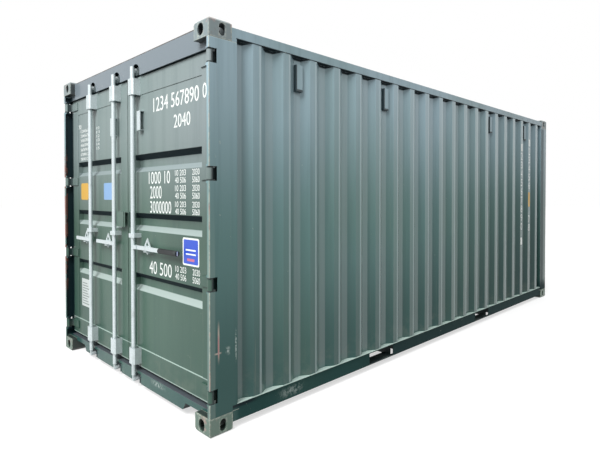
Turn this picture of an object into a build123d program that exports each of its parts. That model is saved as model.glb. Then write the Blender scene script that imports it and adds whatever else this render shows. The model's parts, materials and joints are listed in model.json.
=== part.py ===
from build123d import *
import math
import os

# A 20 ft steel box container. Millimetres, +Z up. X runs along the length with
# the doors at -X, Y across the width, and the origin is on the ground in the middle.

# Overall sizes
LENGTH = 6058.0
WIDTH = 2438.0
HEIGHT = 2591.0

# Corner castings and their holes
CASTING_LENGTH = 178.0
CASTING_WIDTH = 162.0
CASTING_HEIGHT = 118.0
CASTING_PLATE = 28.0
CASTING_WALL = 16.0
CASTING_EDGE = 12.0
CASTING_INNER_EDGE = 24.0
LOCK_INSET_X = 102.5
LOCK_INSET_Y = 89.5
LOCK_SLOT_LENGTH = 124.0
LOCK_SLOT_WIDTH = 63.5
END_HOLE_WIDTH = 63.5
SIDE_HOLE_WIDTH = 51.0
FACE_HOLE_HEIGHT = 79.5
SLOT_END_FLATS = 6

# Posts
POST_DEPTH = 219.0
POST_PLATE = 6.0
POST_LIP = 24.0
POST_BOX_DEPTH = 89.0
POST_BOX_WIDTH = 49.0
CLOSED_POST_WIDTH = 80.0

# Rails along the sides and across the closed end
TOP_RAIL_SIZE = 60.0
TOP_RAIL_WALL = 3.0
TOP_RAIL_DROP = 90.0
RAIL_INSET = 2.0
BOTTOM_RAIL_BASE = 48.0
BOTTOM_RAIL_TOP = 160.0
BOTTOM_RAIL_PLATE = 4.5
BOTTOM_FLANGE_TOP = 47.0
BOTTOM_FLANGE_LOW = 25.0
WEB_INSET = 8.0

# Fork pockets
POCKET_WIDTH = 360.0
POCKET_SPACING = 2050.0
POCKET_SHIFT = -158.0
POCKET_PLATE = 4.0
POCKET_STRAP = 105.0
POCKET_STRAP_THICK = 8.0

# Pressed sheets
SHEET = 2.0
SHEET_INSET = 4.0
WAVE_DEPTH = 36.0
WAVE_INNER = 70.0
WAVE_SLOPE = 68.0
SIDE_WAVES = 20
END_WAVE_DEPTH = 45.6
END_WAVE_INNER = 104.0
END_WAVE_SLOPE = 18.0
END_WAVES = 9
ROOF_TROUGHS = 27
ROOF_TROUGH_DEPTH = 20.0
ROOF_TROUGH_FLAT = 60.0
ROOF_TROUGH_SLOPE = 22.0
ROOF_TROUGH_MARGIN = 95.0

# Floor
FLOOR_TOP = 178.0
FLOOR_THICK = 28.0
FLOOR_GAP = 2.0
FLOOR_SHEETS = 5
CROSS_MEMBER_FLANGE = 45.0
CROSS_MEMBER_PLATE = 4.0
CROSS_MEMBER_PITCH = 300.0

# Door frame of the container
HEADER_RECESS = 50.0
HEADER_DROP = 14.0
HEADER_HEIGHT = 154.0
HEADER_PLATE = 4.0
HEADER_LIP_DEPTH = 37.0
SILL_RECESS = 50.0
SILL_BOTTOM = 45.0
SILL_WING_BOTTOM = 98.0
SILL_TOP = 141.0
SILL_PLATE = 5.0
SILL_DEEP_HALF = 867.0
SILL_SLANT = 37.0

# Door leaves
LEAF_RECESS = 70.0
LEAF_THICK = 50.0
LEAF_TOP_GAP = 6.0
LEAF_BOTTOM_GAP = 27.0
LEAF_SIDE_GAP = 34.0
LEAF_SPLIT_GAP = 11.0
INNER_STILE = 116.0
OUTER_STILE = 143.0
LEAF_TOP_BAND = 140.0
LEAF_BOTTOM_BAND = 147.0
TUBE_WALL = 3.0
PANEL_INSET = 4.0
GROOVE_DROPS = (1590.0, 1120.0, 666.0)
GROOVE_HEIGHT = 138.0
GROOVE_SLOPE = 40.0
GROOVE_DEPTH = 42.0
GASKET_THICK = 9.7
GASKET_WIDTH = 24.0
GASKET_DROP = 8.0

# Hinges
PIN_INSET = 22.0
PIN_RADIUS = 8.0
PIN_CLEARANCE = 0.5
PIN_FLATS = 12
KNUCKLE_RADIUS = 20.0
KNUCKLE_HEIGHT = 70.0
HINGE_END_DROP = 58.0
HINGE_END_RISE = 84.0
HINGE_MIDDLE_SHIFT = 781.0
HINGE_CUT_CLEARANCE = 10.0
HINGE_CUT_DEPTH = 62.0
BLADE_THICK = 10.0
BLADE_OFFSET = 8.0
BLADE_BEND = 8.0
BLADE_REACH = 143.0
LUG_THICK = 14.0
LUG_SIZE = 36.0

# Lock rods, their cams and keepers
ROD_STANDOFF = 45.0
ROD_RADIUS = 17.0
ROD_TOP_RISE = 70.0
ROD_FOOT_DROP = 34.0
RIGHT_RODS = (172.0,)
LEFT_RODS = (163.0, 645.0)
CAM_REACH = 32.0
CAM_NOSE_RADIUS = 15.0
CAM_WEB = 18.0
CAM_WEB_HEIGHT = 42.0
CAM_TOP_DROP = 25.0
CAM_FOOT_DROP = 31.0
MOVING_CLEARANCE = 5.0
KEEPER_PLATE = 10.0
KEEPER_HEIGHT = 44.0
KEEPER_TOP_RISE = 39.0
KEEPER_FOOT_RISE = 24.0
CAM_POCKET_HALF = 66.0
CAM_POCKET_DEPTH = 40.0
TOP_POCKET_RISE = 95.0
FOOT_POCKET_RISE = 72.0

# Brackets that hold the rods on the leaves
GUIDE_WIDTH = 80.0
GUIDE_TALL = 125.0
GUIDE_SHORT = 32.0
GUIDE_DROP = 80.0
GUIDE_RISE = 90.0
GUIDE_MIDDLE_HEIGHT = 1192.0
GUIDE_PLATE = 5.0
GUIDE_BEND = 12.0
GUIDE_BUSH = 32.0
GUIDE_BORE_CLEARANCE = 1.0
GUIDE_BORE_FLATS = 16

# Handles
HANDLE_HEIGHT = 1105.0
HANDLE_THICK = 10.0
HANDLE_DEPTH = 30.0
HANDLE_PIVOT_REACH = 48.0
HANDLE_TIPS = {"right": (811.0,), "left": (516.0, 975.0)}
CLEVIS_PLATE = 6.0
CLEVIS_GAP = 1.0
HANDLE_PIN_RADIUS = 7.0
GRIP_START = 573.0
GRIP_RADIUS = 19.0

# Catches that the handles rest in
CATCH_POSITIONS = {"right": (376.0,), "left": (306.0, 766.0)}
CATCH_HALF_WIDTH = 50.0
CATCH_TOP_RISE = 79.0
CATCH_SHOULDER_RISE = 8.0
CATCH_TIP_DROP = 47.0
CATCH_PLATE = 6.0
CATCH_RIM = 13.0
CATCH_STEM = 44.0
CATCH_SHELF = 40.0
CATCH_REACH = 12.0

# Hold boxes high on the leaves, open to the right
HOLD_BOXES = {"right": 239.0, "left": 231.0}
HOLD_BOX_WIDTH = 52.0
HOLD_BOX_BOTTOM = 2000.0
HOLD_BOX_TOP = 2148.0
HOLD_BOX_PROUD = 35.0
HOLD_BOX_PLATE = 4.0

# Lock box
LOCK_BOX_BOTTOM = 1250.0
LOCK_BOX_TOP = 1372.0
LOCK_BOX_PROUD = 40.0
LOCK_BOX_PLATE = 5.0
LOCK_BOX_ENDS = {"right": 92.0, "left": 135.0}
LOCK_BOX_OPEN_FROM = 20.0

# Vent covers
VENT_WAVES = (2, 6, 14, 18)
VENT_WIDTH = 66.0
VENT_BOTTOM_DROP = 338.0
VENT_TOP_DROP = 147.0
VENT_PROUD = 26.0

# Places worked out from the sizes above
DOOR_END = -LENGTH / 2
CLOSED_END = LENGTH / 2
SIDE = WIDTH / 2
LOCK_X = LENGTH / 2 - LOCK_INSET_X
LOCK_Y = SIDE - LOCK_INSET_Y
TOP_RAIL_BOTTOM = HEIGHT - TOP_RAIL_DROP
TOP_RAIL_TOP = TOP_RAIL_BOTTOM + TOP_RAIL_SIZE
POST_BACK = DOOR_END + POST_DEPTH
CLOSED_POST_FRONT = CLOSED_END - POST_DEPTH
POST_BOX_FRONT = POST_BACK - POST_BOX_DEPTH
OPENING_HALF = SIDE - POST_BOX_WIDTH
HEADER_FRONT = DOOR_END + HEADER_RECESS
HEADER_BACK = POST_BACK - POST_PLATE
HEADER_TOP = HEIGHT - HEADER_DROP
HEADER_BOTTOM = HEADER_TOP - HEADER_HEIGHT
SILL_FRONT = DOOR_END + SILL_RECESS
LEAF_FRONT = DOOR_END + LEAF_RECESS
LEAF_BACK = LEAF_FRONT + LEAF_THICK
LEAF_TOP = HEADER_BOTTOM - LEAF_TOP_GAP
LEAF_BOTTOM = SILL_TOP + LEAF_BOTTOM_GAP
LEAF_OUTER = SIDE - LEAF_SIDE_GAP
LEAF_INNER = LEAF_SPLIT_GAP / 2
PANEL_FRONT = LEAF_FRONT + PANEL_INSET
PANEL_BOTTOM = LEAF_BOTTOM + LEAF_BOTTOM_BAND
PANEL_TOP = LEAF_TOP - LEAF_TOP_BAND
PIN_X = DOOR_END + PIN_INSET
PIN_Y = SIDE - PIN_INSET
HINGE_HEIGHTS = (LEAF_TOP - HINGE_END_DROP, LEAF_TOP - HINGE_MIDDLE_SHIFT,
                 LEAF_BOTTOM + HINGE_MIDDLE_SHIFT, LEAF_BOTTOM + HINGE_END_RISE)
HINGE_CUT_HEIGHT = KNUCKLE_HEIGHT + 2 * HINGE_CUT_CLEARANCE
ROD_X = LEAF_FRONT - ROD_STANDOFF
ROD_TOP = HEADER_BOTTOM + ROD_TOP_RISE
ROD_BOTTOM = SILL_TOP - ROD_FOOT_DROP
CAM_TOP_CENTRE = ROD_TOP - CAM_TOP_DROP
CAM_FOOT_CENTRE = ROD_BOTTOM - CAM_FOOT_DROP
CAM_SWEEP = math.hypot(CAM_REACH, CAM_NOSE_RADIUS)
KEEPER_INNER = CAM_SWEEP + MOVING_CLEARANCE
KEEPER_BACK = HEADER_FRONT + CAM_POCKET_DEPTH
GUIDE_PLACES = ((LEAF_TOP - GUIDE_DROP, GUIDE_TALL), (GUIDE_MIDDLE_HEIGHT, GUIDE_SHORT),
                (LEAF_BOTTOM + GUIDE_RISE, GUIDE_TALL))
SHEET_FACE = SIDE - SHEET_INSET
FLOOR_BOTTOM = FLOOR_TOP - FLOOR_THICK
WEB_INNER = SIDE - WEB_INSET - BOTTOM_RAIL_PLATE
POCKET_CENTRES = (POCKET_SHIFT - POCKET_SPACING / 2, POCKET_SHIFT + POCKET_SPACING / 2)
SIDES = {"right": -1, "left": 1}
RODS = {"right": RIGHT_RODS, "left": LEFT_RODS}


def block(x0, x1, y0, y1, z0, z1):
    """A box between two corners, given in any order."""
    middle = Pos((x0 + x1) / 2, (y0 + y1) / 2, (z0 + z1) / 2)
    return middle * Box(abs(x1 - x0), abs(y1 - y0), abs(z1 - z0))


def prism(points, direction, length):
    """A flat outline pushed out along a direction."""
    outline = make_face(Polyline(*points, close=True))
    return extrude(outline, amount=length, dir=direction)


def ring_points(radius, flats, start, end):
    """Points round an arc, from one angle to another in degrees."""
    turns = [math.radians(start + (end - start) * step / flats) for step in range(flats + 1)]
    return [(radius * math.cos(turn), radius * math.sin(turn)) for turn in turns]


def round_bar(radius, length, flats):
    """A small round bar or bore along Z, cut with even flats."""
    return extrude(RegularPolygon(radius, flats), length / 2, both=True)


def slot_room(height, width, depth):
    """An upright slot with rounded ends, through a wall that faces X."""
    radius = width / 2
    middle = height / 2 - radius
    top = [(0, y, middle + z) for y, z in ring_points(radius, SLOT_END_FLATS, 0, 180)]
    low = [(0, y, z - middle) for y, z in ring_points(radius, SLOT_END_FLATS, 180, 360)]
    return Pos(-depth, 0, 0) * prism(top + low, (1, 0, 0), 2 * depth)


def casting_outside(is_top, x0, x1, y0, y1):
    """A casting's outer block, with the edges of its outer end face bevelled."""
    base = HEIGHT - CASTING_HEIGHT if is_top else 0.0
    top = base + CASTING_HEIGHT
    near, far, way = (top, base, -1) if is_top else (base, top, 1)
    edge, inner = CASTING_EDGE, CASTING_INNER_EDGE
    across = [(x0, y0 + edge, near), (x0, y1 - inner, near), (x0, y1, near + way * inner),
              (x0, y1, far), (x0, y0, far), (x0, y0, near + way * edge)]
    along = [(x0 + edge, y0, near), (x1 - edge, y0, near), (x1, y0, near + way * edge),
             (x1, y0, far), (x0, y0, far), (x0, y0, near + way * edge)]
    return prism(across, (1, 0, 0), x1 - x0) & prism(along, (0, 1, 0), y1 - y0)


def flip_side(shape):
    """The same shape on the other long side."""
    return mirror(shape, Plane.XZ)


def flip_end(shape):
    """The same shape at the other end."""
    return mirror(shape, Plane.YZ)


def save(name, *shapes):
    """Write one node, made of one solid or several that do not touch."""
    solids = [solid for shape in shapes for solid in shape.solids()]
    whole = solids[0] if len(solids) == 1 else Compound(children=solids)
    export_step(whole, "parts/" + name + ".step")


def casting(is_top):
    """One hollow casting at the door end on the right side."""
    base = HEIGHT - CASTING_HEIGHT if is_top else 0.0
    top = base + CASTING_HEIGHT
    x0, y0 = DOOR_END, -SIDE
    x1, y1 = x0 + CASTING_LENGTH, y0 + CASTING_WIDTH
    body = casting_outside(is_top, x0, x1, y0, y1)
    floor_wall = CASTING_WALL if is_top else CASTING_PLATE
    roof_wall = CASTING_PLATE if is_top else CASTING_WALL
    body -= block(x0 + CASTING_WALL, x1 - CASTING_WALL, y0 + CASTING_WALL, y1 - CASTING_WALL,
                  base + floor_wall, top - roof_wall)
    plate_z = top - CASTING_PLATE / 2 if is_top else base + CASTING_PLATE / 2
    lock_slot = extrude(SlotOverall(LOCK_SLOT_LENGTH, LOCK_SLOT_WIDTH), CASTING_PLATE, both=True)
    body -= Pos(-LOCK_X, -LOCK_Y, plate_z) * lock_slot
    middle = (base + top) / 2
    body -= Pos(x0, -LOCK_Y, middle) * slot_room(FACE_HOLE_HEIGHT, END_HOLE_WIDTH, CASTING_WALL)
    side_slot = Rot(0, 0, 90) * slot_room(FACE_HOLE_HEIGHT, SIDE_HOLE_WIDTH, CASTING_WALL)
    return body - Pos(-LOCK_X, y0, middle) * side_slot


def casting_zones():
    """The boxes that the eight castings fill, for cutting what runs into them."""
    zones = []
    for base in (0.0, HEIGHT - CASTING_HEIGHT):
        for end in (-1, 1):
            for side in (-1, 1):
                zones.append(block(end * LENGTH / 2, end * (LENGTH / 2 - CASTING_LENGTH),
                                   side * SIDE, side * (SIDE - CASTING_WIDTH),
                                   base, base + CASTING_HEIGHT))
    return zones


def outside_castings(shape):
    """Cut the castings' room out of a shape."""
    for zone in casting_zones():
        shape -= zone
    return shape


def door_post():
    """The right door-end post: a J-shaped plate, a box behind the door edge and the beams' ends."""
    y0, top = -SIDE, HEIGHT - CASTING_HEIGHT
    post = block(DOOR_END, DOOR_END + POST_PLATE, y0, y0 + POST_LIP, 0, top)
    post += block(DOOR_END, POST_BACK, y0, y0 + POST_PLATE, 0, top)
    post += block(POST_BOX_FRONT, POST_BACK, y0, -OPENING_HALF, 0, top)
    post -= block(POST_BOX_FRONT + POST_PLATE, POST_BACK - POST_PLATE, y0 + POST_PLATE,
                  -OPENING_HALF - POST_PLATE, 0, top)
    for height in HINGE_HEIGHTS:
        post -= block(DOOR_END, DOOR_END + HINGE_CUT_DEPTH, y0, y0 + POST_LIP,
                      height - HINGE_CUT_HEIGHT / 2, height + HINGE_CUT_HEIGHT / 2)
    for height in HINGE_HEIGHTS:
        for way in (-1, 1):
            near = height + way * HINGE_CUT_HEIGHT / 2
            post += hinge_lug(near, near + way * LUG_THICK)
    post -= block(DOOR_END, POST_BACK, y0, 0, 0, BOTTOM_RAIL_TOP)
    return outside_castings(post + door_post_foot() + header_cap() + sill_cap())


def hinge_lug(z0, z1):
    """A lug in the corner of the post that holds one end of a hinge pin."""
    x0, y0 = DOOR_END + POST_PLATE, -SIDE + POST_PLATE
    lug = block(x0, x0 + LUG_SIZE, y0, y0 + LUG_SIZE, z0, z1)
    hole = round_bar(PIN_RADIUS + PIN_CLEARANCE, LUG_THICK * 2, PIN_FLATS)
    return lug - Pos(PIN_X, -PIN_Y, (z0 + z1) / 2) * hole


def header_cap():
    """The right end of the header, under the casting."""
    plate = HEADER_PLATE
    y0, y1 = -SIDE + POST_PLATE, -SIDE + CASTING_WIDTH
    z0, z1 = HEADER_BOTTOM, HEIGHT - CASTING_HEIGHT
    cap = block(HEADER_FRONT, HEADER_BACK, y0, y1, z0, z1)
    cap -= block(HEADER_FRONT + plate, HEADER_BACK - plate, y0, y1 - plate, z0 + plate, z1 - plate)
    return cap - block(POST_BOX_FRONT, 0, -SIDE, -OPENING_HALF, 0, HEIGHT)


def sill_cap():
    """The right end of the sill, on the casting."""
    plate = SILL_PLATE
    y0, y1 = -SIDE + POST_PLATE, -SIDE + CASTING_WIDTH
    low, end = CASTING_HEIGHT, DOOR_END + CASTING_LENGTH
    front = block(SILL_FRONT, POST_BOX_FRONT, y0, y1, low, SILL_TOP)
    front -= block(SILL_FRONT + plate, POST_BOX_FRONT - plate, y0 + plate, y1 - plate, low + plate,
                   SILL_TOP - plate)
    back = block(POST_BOX_FRONT, end, y0, y1, low, BOTTOM_RAIL_TOP)
    return front + back - block(POST_BOX_FRONT + plate, end - plate, y0 + plate, y1 - plate,
                                low + plate, BOTTOM_RAIL_TOP - plate)


def door_post_foot():
    """The stretch of the post between the casting and the top of the side rail."""
    y0 = -SIDE
    x1 = DOOR_END + CASTING_LENGTH
    foot = block(DOOR_END, DOOR_END + POST_PLATE, y0, y0 + POST_LIP, CASTING_HEIGHT, BOTTOM_RAIL_TOP)
    return foot + block(DOOR_END, x1, y0, y0 + POST_PLATE, CASTING_HEIGHT, BOTTOM_RAIL_TOP)


def closed_post():
    """The right closed-end post: one box section on the castings."""
    x0, y0 = CLOSED_POST_FRONT, -SIDE
    y1 = y0 + CLOSED_POST_WIDTH
    post = block(x0, CLOSED_END, y0, y1, BOTTOM_RAIL_TOP, TOP_RAIL_BOTTOM)
    post += block(CLOSED_END - CASTING_LENGTH, CLOSED_END, y0, y1, 0, HEIGHT)
    post -= block(x0 + POST_PLATE, CLOSED_END - POST_PLATE, y0 + POST_PLATE, y1 - POST_PLATE, 0, HEIGHT)
    return outside_castings(post)


def wave_line(start, count, inner, slope, outer, depth):
    """The points of a pressed sheet: inner flat, slope out, outer flat, slope in, and so on."""
    points = [(start, 0.0)]
    at = start
    for _ in range(count):
        at += inner
        points.append((at, 0.0))
        at += slope
        points.append((at, depth))
        at += outer
        points.append((at, depth))
        at += slope
        points.append((at, 0.0))
    points.append((at + inner, 0.0))
    return points


def sheet_outline(points, slope, depth):
    """Close a pressed line into the outline of a sheet of even thickness."""
    half_turn = math.tan(math.atan2(depth, slope) / 2) * SHEET
    inside = []
    for at, level in reversed(points[1:-1]):
        index = points.index((at, level))
        rising = points[index + 1][1] > level or points[index - 1][1] < level
        shift = half_turn if rising else -half_turn
        inside.append((at + shift, level - SHEET))
    return points + [(points[-1][0], -SHEET)] + inside + [(points[0][0], -SHEET)]


def side_wall():
    """The right corrugated wall, between the posts and between the rails."""
    span = CLOSED_POST_FRONT - POST_BACK
    pitch = (span - WAVE_INNER) / SIDE_WAVES
    outer = pitch - WAVE_INNER - 2 * WAVE_SLOPE
    line = wave_line(POST_BACK, SIDE_WAVES, WAVE_INNER, WAVE_SLOPE, outer, WAVE_DEPTH)
    outline = sheet_outline(line, WAVE_SLOPE, WAVE_DEPTH)
    valley = SHEET_FACE - WAVE_DEPTH
    points = [(x, -(valley + level), BOTTOM_RAIL_TOP) for x, level in outline]
    return prism(points, (0, 0, 1), TOP_RAIL_BOTTOM - BOTTOM_RAIL_TOP)


def end_wall():
    """The corrugated closed end, between the closed-end posts."""
    half = SIDE - CLOSED_POST_WIDTH
    pitch = (2 * half - END_WAVE_INNER) / END_WAVES
    outer = pitch - END_WAVE_INNER - 2 * END_WAVE_SLOPE
    line = wave_line(-half, END_WAVES, END_WAVE_INNER, END_WAVE_SLOPE, outer, END_WAVE_DEPTH)
    outline = sheet_outline(line, END_WAVE_SLOPE, END_WAVE_DEPTH)
    valley = CLOSED_END - SHEET_INSET - END_WAVE_DEPTH
    points = [(valley + level, y, BOTTOM_RAIL_TOP) for y, level in outline]
    return outside_castings(prism(points, (0, 0, 1), TOP_RAIL_BOTTOM - BOTTOM_RAIL_TOP))


def roof_trough(x, half_length, inset, lift):
    """The room of one pressed trough, tapered on all four sides, grown by an inset."""
    top = TOP_RAIL_TOP + SHEET
    low = top - ROOF_TROUGH_DEPTH - lift
    wide = ROOF_TROUGH_FLAT / 2 + ROOF_TROUGH_SLOPE + inset
    narrow = ROOF_TROUGH_FLAT / 2 + inset
    long, short = half_length + inset, half_length - ROOF_TROUGH_SLOPE + inset
    across = [(x - wide, -long, top), (x + wide, -long, top), (x + narrow, -long, low),
              (x - narrow, -long, low)]
    along = [(x - wide, -long, top), (x - wide, long, top), (x - wide, short, low),
             (x - wide, -short, low)]
    return prism(across, (0, 1, 0), 2 * long) & prism(along, (1, 0, 0), 2 * wide)


def roof():
    """The pressed roof sheet, with its troughs across the container."""
    x0, x1 = DOOR_END + CASTING_LENGTH, CLOSED_END - SHEET_INSET
    base, top = TOP_RAIL_TOP, TOP_RAIL_TOP + SHEET
    sheet = block(x0, x1, -SIDE + RAIL_INSET, SIDE - RAIL_INSET, base, top)
    sheet -= block(x0, HEADER_BACK, -SIDE + CASTING_WIDTH, SIDE - CASTING_WIDTH, base, top)
    first = HEADER_BACK + ROOF_TROUGH_MARGIN
    last = CLOSED_END - TOP_RAIL_SIZE - ROOF_TROUGH_MARGIN
    half_length = SIDE - RAIL_INSET - TOP_RAIL_SIZE - ROOF_TROUGH_SLOPE
    for index in range(ROOF_TROUGHS):
        x = first + (last - first) * index / (ROOF_TROUGHS - 1)
        sheet += roof_trough(x, half_length, SHEET, SHEET)
        sheet -= roof_trough(x, half_length, 0.0, 0.0)
    return outside_castings(sheet)


def top_side_rail():
    """The square tube along the top of the right side, from casting to casting."""
    x0, x1 = DOOR_END + CASTING_LENGTH, CLOSED_END - CASTING_LENGTH
    y0 = -SIDE + RAIL_INSET
    y1 = y0 + TOP_RAIL_SIZE
    rail = block(x0, x1, y0, y1, TOP_RAIL_BOTTOM, TOP_RAIL_TOP)
    rail -= block(x0, x1, y0 + TOP_RAIL_WALL, y1 - TOP_RAIL_WALL,
                  TOP_RAIL_BOTTOM + TOP_RAIL_WALL, TOP_RAIL_TOP - TOP_RAIL_WALL)
    return rail + block(x0, POST_BACK, y0, y1, HEIGHT - CASTING_HEIGHT, TOP_RAIL_BOTTOM)


def bottom_side_rail():
    """The channel along the bottom of the right side, cut for the fork pockets."""
    x0, x1 = DOOR_END + CASTING_LENGTH, CLOSED_END - CASTING_LENGTH
    web = -SIDE + WEB_INSET
    plate = BOTTOM_RAIL_PLATE
    rail = block(x0, x1, web, web + plate, BOTTOM_RAIL_BASE, BOTTOM_RAIL_TOP)
    rail += block(x0, x1, -SIDE, -SIDE + BOTTOM_FLANGE_TOP, BOTTOM_RAIL_TOP - plate, BOTTOM_RAIL_TOP)
    rail += block(x0, x1, web, web + plate + BOTTOM_FLANGE_LOW, BOTTOM_RAIL_BASE,
                  BOTTOM_RAIL_BASE + plate)
    for centre in POCKET_CENTRES:
        rail -= block(centre - POCKET_WIDTH / 2, centre + POCKET_WIDTH / 2, web, 0,
                      BOTTOM_RAIL_BASE, FLOOR_BOTTOM - POCKET_PLATE)
    return rail


def fork_pocket(centre):
    """The lining of one fork pocket: top, two sides and a strap under each mouth."""
    half = POCKET_WIDTH / 2
    web = SIDE - WEB_INSET
    base = BOTTOM_RAIL_BASE
    roof_z = FLOOR_BOTTOM - POCKET_PLATE
    inner_half = WEB_INNER - BOTTOM_FLANGE_LOW
    lining = block(centre - half - POCKET_PLATE, centre + half + POCKET_PLATE,
                   -inner_half, inner_half, base, FLOOR_BOTTOM)
    lining -= block(centre - half, centre + half, -inner_half, inner_half, base, roof_z)
    for side in (-1, 1):
        lining += block(centre - half, centre + half, side * web, side * (web - POCKET_STRAP),
                        base, base + POCKET_STRAP_THICK)
    return lining


def rod_places():
    """Where the lock rods stand across the doors, right to left."""
    return [-at for at in reversed(RIGHT_RODS)] + list(LEFT_RODS)


def beam_stretch(outer, room, start, end, plate):
    """The stretch of a hollow beam between two places across the container, closed at its ends."""
    span = block(-LENGTH, LENGTH, start, end, 0, HEIGHT)
    inside = block(-LENGTH, LENGTH, start + plate, end - plate, 0, HEIGHT)
    return (outer & span) - (room & inside)


def cam_pocket(y, front, low, top, plate):
    """The plates round one cam: the back, the ceiling and the two cheeks."""
    half = CAM_POCKET_HALF
    inner, outer = y - half, y + half
    back = block(KEEPER_BACK, KEEPER_BACK + plate, inner - plate, outer + plate, low, top + plate)
    ceiling = block(front, KEEPER_BACK, inner - plate, outer + plate, top, top + plate)
    right = block(front, KEEPER_BACK, inner - plate, inner, low, top)
    left = block(front, KEEPER_BACK, outer, outer + plate, low, top)
    return [back, ceiling, right, left]


def plain_stretches(outer, room, plate):
    """The stretches of a beam that lie between its pockets."""
    half = CAM_POCKET_HALF + plate
    places = rod_places()
    starts = [-SIDE] + [y + half for y in places]
    ends = [y - half for y in places] + [SIDE]
    return [beam_stretch(outer, room, start, end, plate) for start, end in zip(starts, ends)]


def header():
    """The box beam over the doors, between the castings, without its pockets."""
    plate = HEADER_PLATE
    half = SIDE - CASTING_WIDTH
    outer = block(HEADER_FRONT, HEADER_BACK, -half, half, HEADER_BOTTOM, HEADER_TOP)
    room = block(HEADER_FRONT + plate, HEADER_BACK - plate, -half + plate, half - plate,
                 HEADER_BOTTOM + plate, HEADER_TOP - plate)
    return plain_stretches(outer, room, plate)


def header_pocket(y):
    """The plates of the header at one cam: its pocket, and the beam above and behind it."""
    plate = HEADER_PLATE
    x0, x1, behind = HEADER_FRONT, HEADER_BACK, KEEPER_BACK + plate
    z0, z1 = HEADER_BOTTOM, HEADER_TOP
    pocket_top = z0 + TOP_POCKET_RISE
    y0, y1 = y - CAM_POCKET_HALF - plate, y + CAM_POCKET_HALF + plate
    top = block(x0, x1, y0, y1, z1 - plate, z1)
    face = block(x0, x0 + plate, y0, y1, pocket_top + plate, z1 - plate)
    back = block(x1 - plate, x1, y0, y1, z0, z1 - plate)
    under = block(behind, x1 - plate, y0, y1, z0, z0 + plate)
    return [top, face, back, under] + cam_pocket(y, x0, z0, pocket_top, plate)


def sill_middle(inset):
    """The deep middle of the sill with slanted ends and a step behind the leaves, shrunk by an inset."""
    x0 = SILL_FRONT + inset
    low, top = SILL_BOTTOM + inset, BOTTOM_RAIL_TOP - inset
    wide = SILL_DEEP_HALF - inset
    narrow = wide - SILL_SLANT
    points = [(x0, -narrow, low), (x0, narrow, low), (x0, wide, SILL_WING_BOTTOM), (x0, wide, top),
              (x0, -wide, top), (x0, -wide, SILL_WING_BOTTOM)]
    body = prism(points, (1, 0, 0), HEADER_BACK - SILL_FRONT - 2 * inset)
    return body - block(x0, POST_BOX_FRONT + inset, -SIDE, SIDE, SILL_TOP - inset, top)


def sill_wing(side, inset):
    """One shallow end of the sill, up to the casting, shrunk by an inset."""
    x0, x1 = SILL_FRONT + inset, HEADER_BACK - inset
    start, end = side * SILL_DEEP_HALF, side * (SIDE - CASTING_WIDTH - inset)
    low, top = SILL_WING_BOTTOM + inset, BOTTOM_RAIL_TOP - inset
    body = block(x0, x1, start, end, low, top)
    return body - block(x0, POST_BOX_FRONT + inset, start, end, SILL_TOP - inset, top)


def sill():
    """The box beam under the doors, between the castings, without its pockets."""
    outer, room = sill_middle(0.0), sill_middle(SILL_PLATE)
    for side in (-1, 1):
        outer += sill_wing(side, 0.0)
        room += sill_wing(side, SILL_PLATE)
    return plain_stretches(outer, room, SILL_PLATE)


def sill_pocket(y):
    """The plates of the sill at one cam: its pocket, the step above it and the beam behind."""
    plate = SILL_PLATE
    x0, x1, step = SILL_FRONT, HEADER_BACK, POST_BOX_FRONT
    behind = KEEPER_BACK + plate
    low, top = SILL_BOTTOM, BOTTOM_RAIL_TOP
    pocket_top = low + FOOT_POCKET_RISE
    y0, y1 = y - CAM_POCKET_HALF - plate, y + CAM_POCKET_HALF + plate
    tread = block(x0, step, y0, y1, SILL_TOP - plate, SILL_TOP)
    face = block(x0, x0 + plate, y0, y1, pocket_top + plate, SILL_TOP - plate)
    riser = block(step, step + plate, y0, y1, SILL_TOP - plate, top)
    ledge = block(step + plate, x1, y0, y1, top - plate, top)
    back = block(x1 - plate, x1, y0, y1, low, top - plate)
    under = block(behind, x1 - plate, y0, y1, low, low + plate)
    return [tread, face, riser, ledge, back, under] + cam_pocket(y, x0, low, pocket_top, plate)


def door_stops():
    """The lip under the header that the gaskets meet, and the threshold angle on the sill."""
    plate = SILL_PLATE
    half = OPENING_HALF
    lip = block(POST_BOX_FRONT, POST_BOX_FRONT + POST_PLATE, -half, half,
                HEADER_BOTTOM - HEADER_LIP_DEPTH, HEADER_BOTTOM)
    angle = block(POST_BOX_FRONT, POST_BOX_FRONT + plate, -half, half, BOTTOM_RAIL_TOP, FLOOR_TOP)
    return lip, angle + block(POST_BOX_FRONT, POST_BACK, -half, half, FLOOR_TOP - plate, FLOOR_TOP)


def end_top_rail():
    """The square tube over the closed end."""
    half = SIDE - CASTING_WIDTH
    x0, x1 = CLOSED_END - TOP_RAIL_SIZE, CLOSED_END
    rail = block(x0, x1, -half, half, TOP_RAIL_BOTTOM, TOP_RAIL_TOP)
    return rail - block(x0 + TOP_RAIL_WALL, x1 - TOP_RAIL_WALL, -half, half,
                        TOP_RAIL_BOTTOM + TOP_RAIL_WALL, TOP_RAIL_TOP - TOP_RAIL_WALL)


def end_bottom_rail():
    """The channel under the closed end."""
    half = SIDE - CASTING_WIDTH
    plate = BOTTOM_RAIL_PLATE
    back = CLOSED_END - SHEET_INSET - END_WAVE_DEPTH - SHEET
    rail = block(CLOSED_END - plate, CLOSED_END, -half, half, BOTTOM_RAIL_BASE, BOTTOM_RAIL_TOP)
    rail += block(back, CLOSED_END, -half, half, BOTTOM_RAIL_TOP - plate, BOTTOM_RAIL_TOP)
    rail += block(CLOSED_END - BOTTOM_FLANGE_TOP, CLOSED_END, -half, half, BOTTOM_RAIL_BASE,
                  BOTTOM_RAIL_BASE + plate)
    return rail


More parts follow.
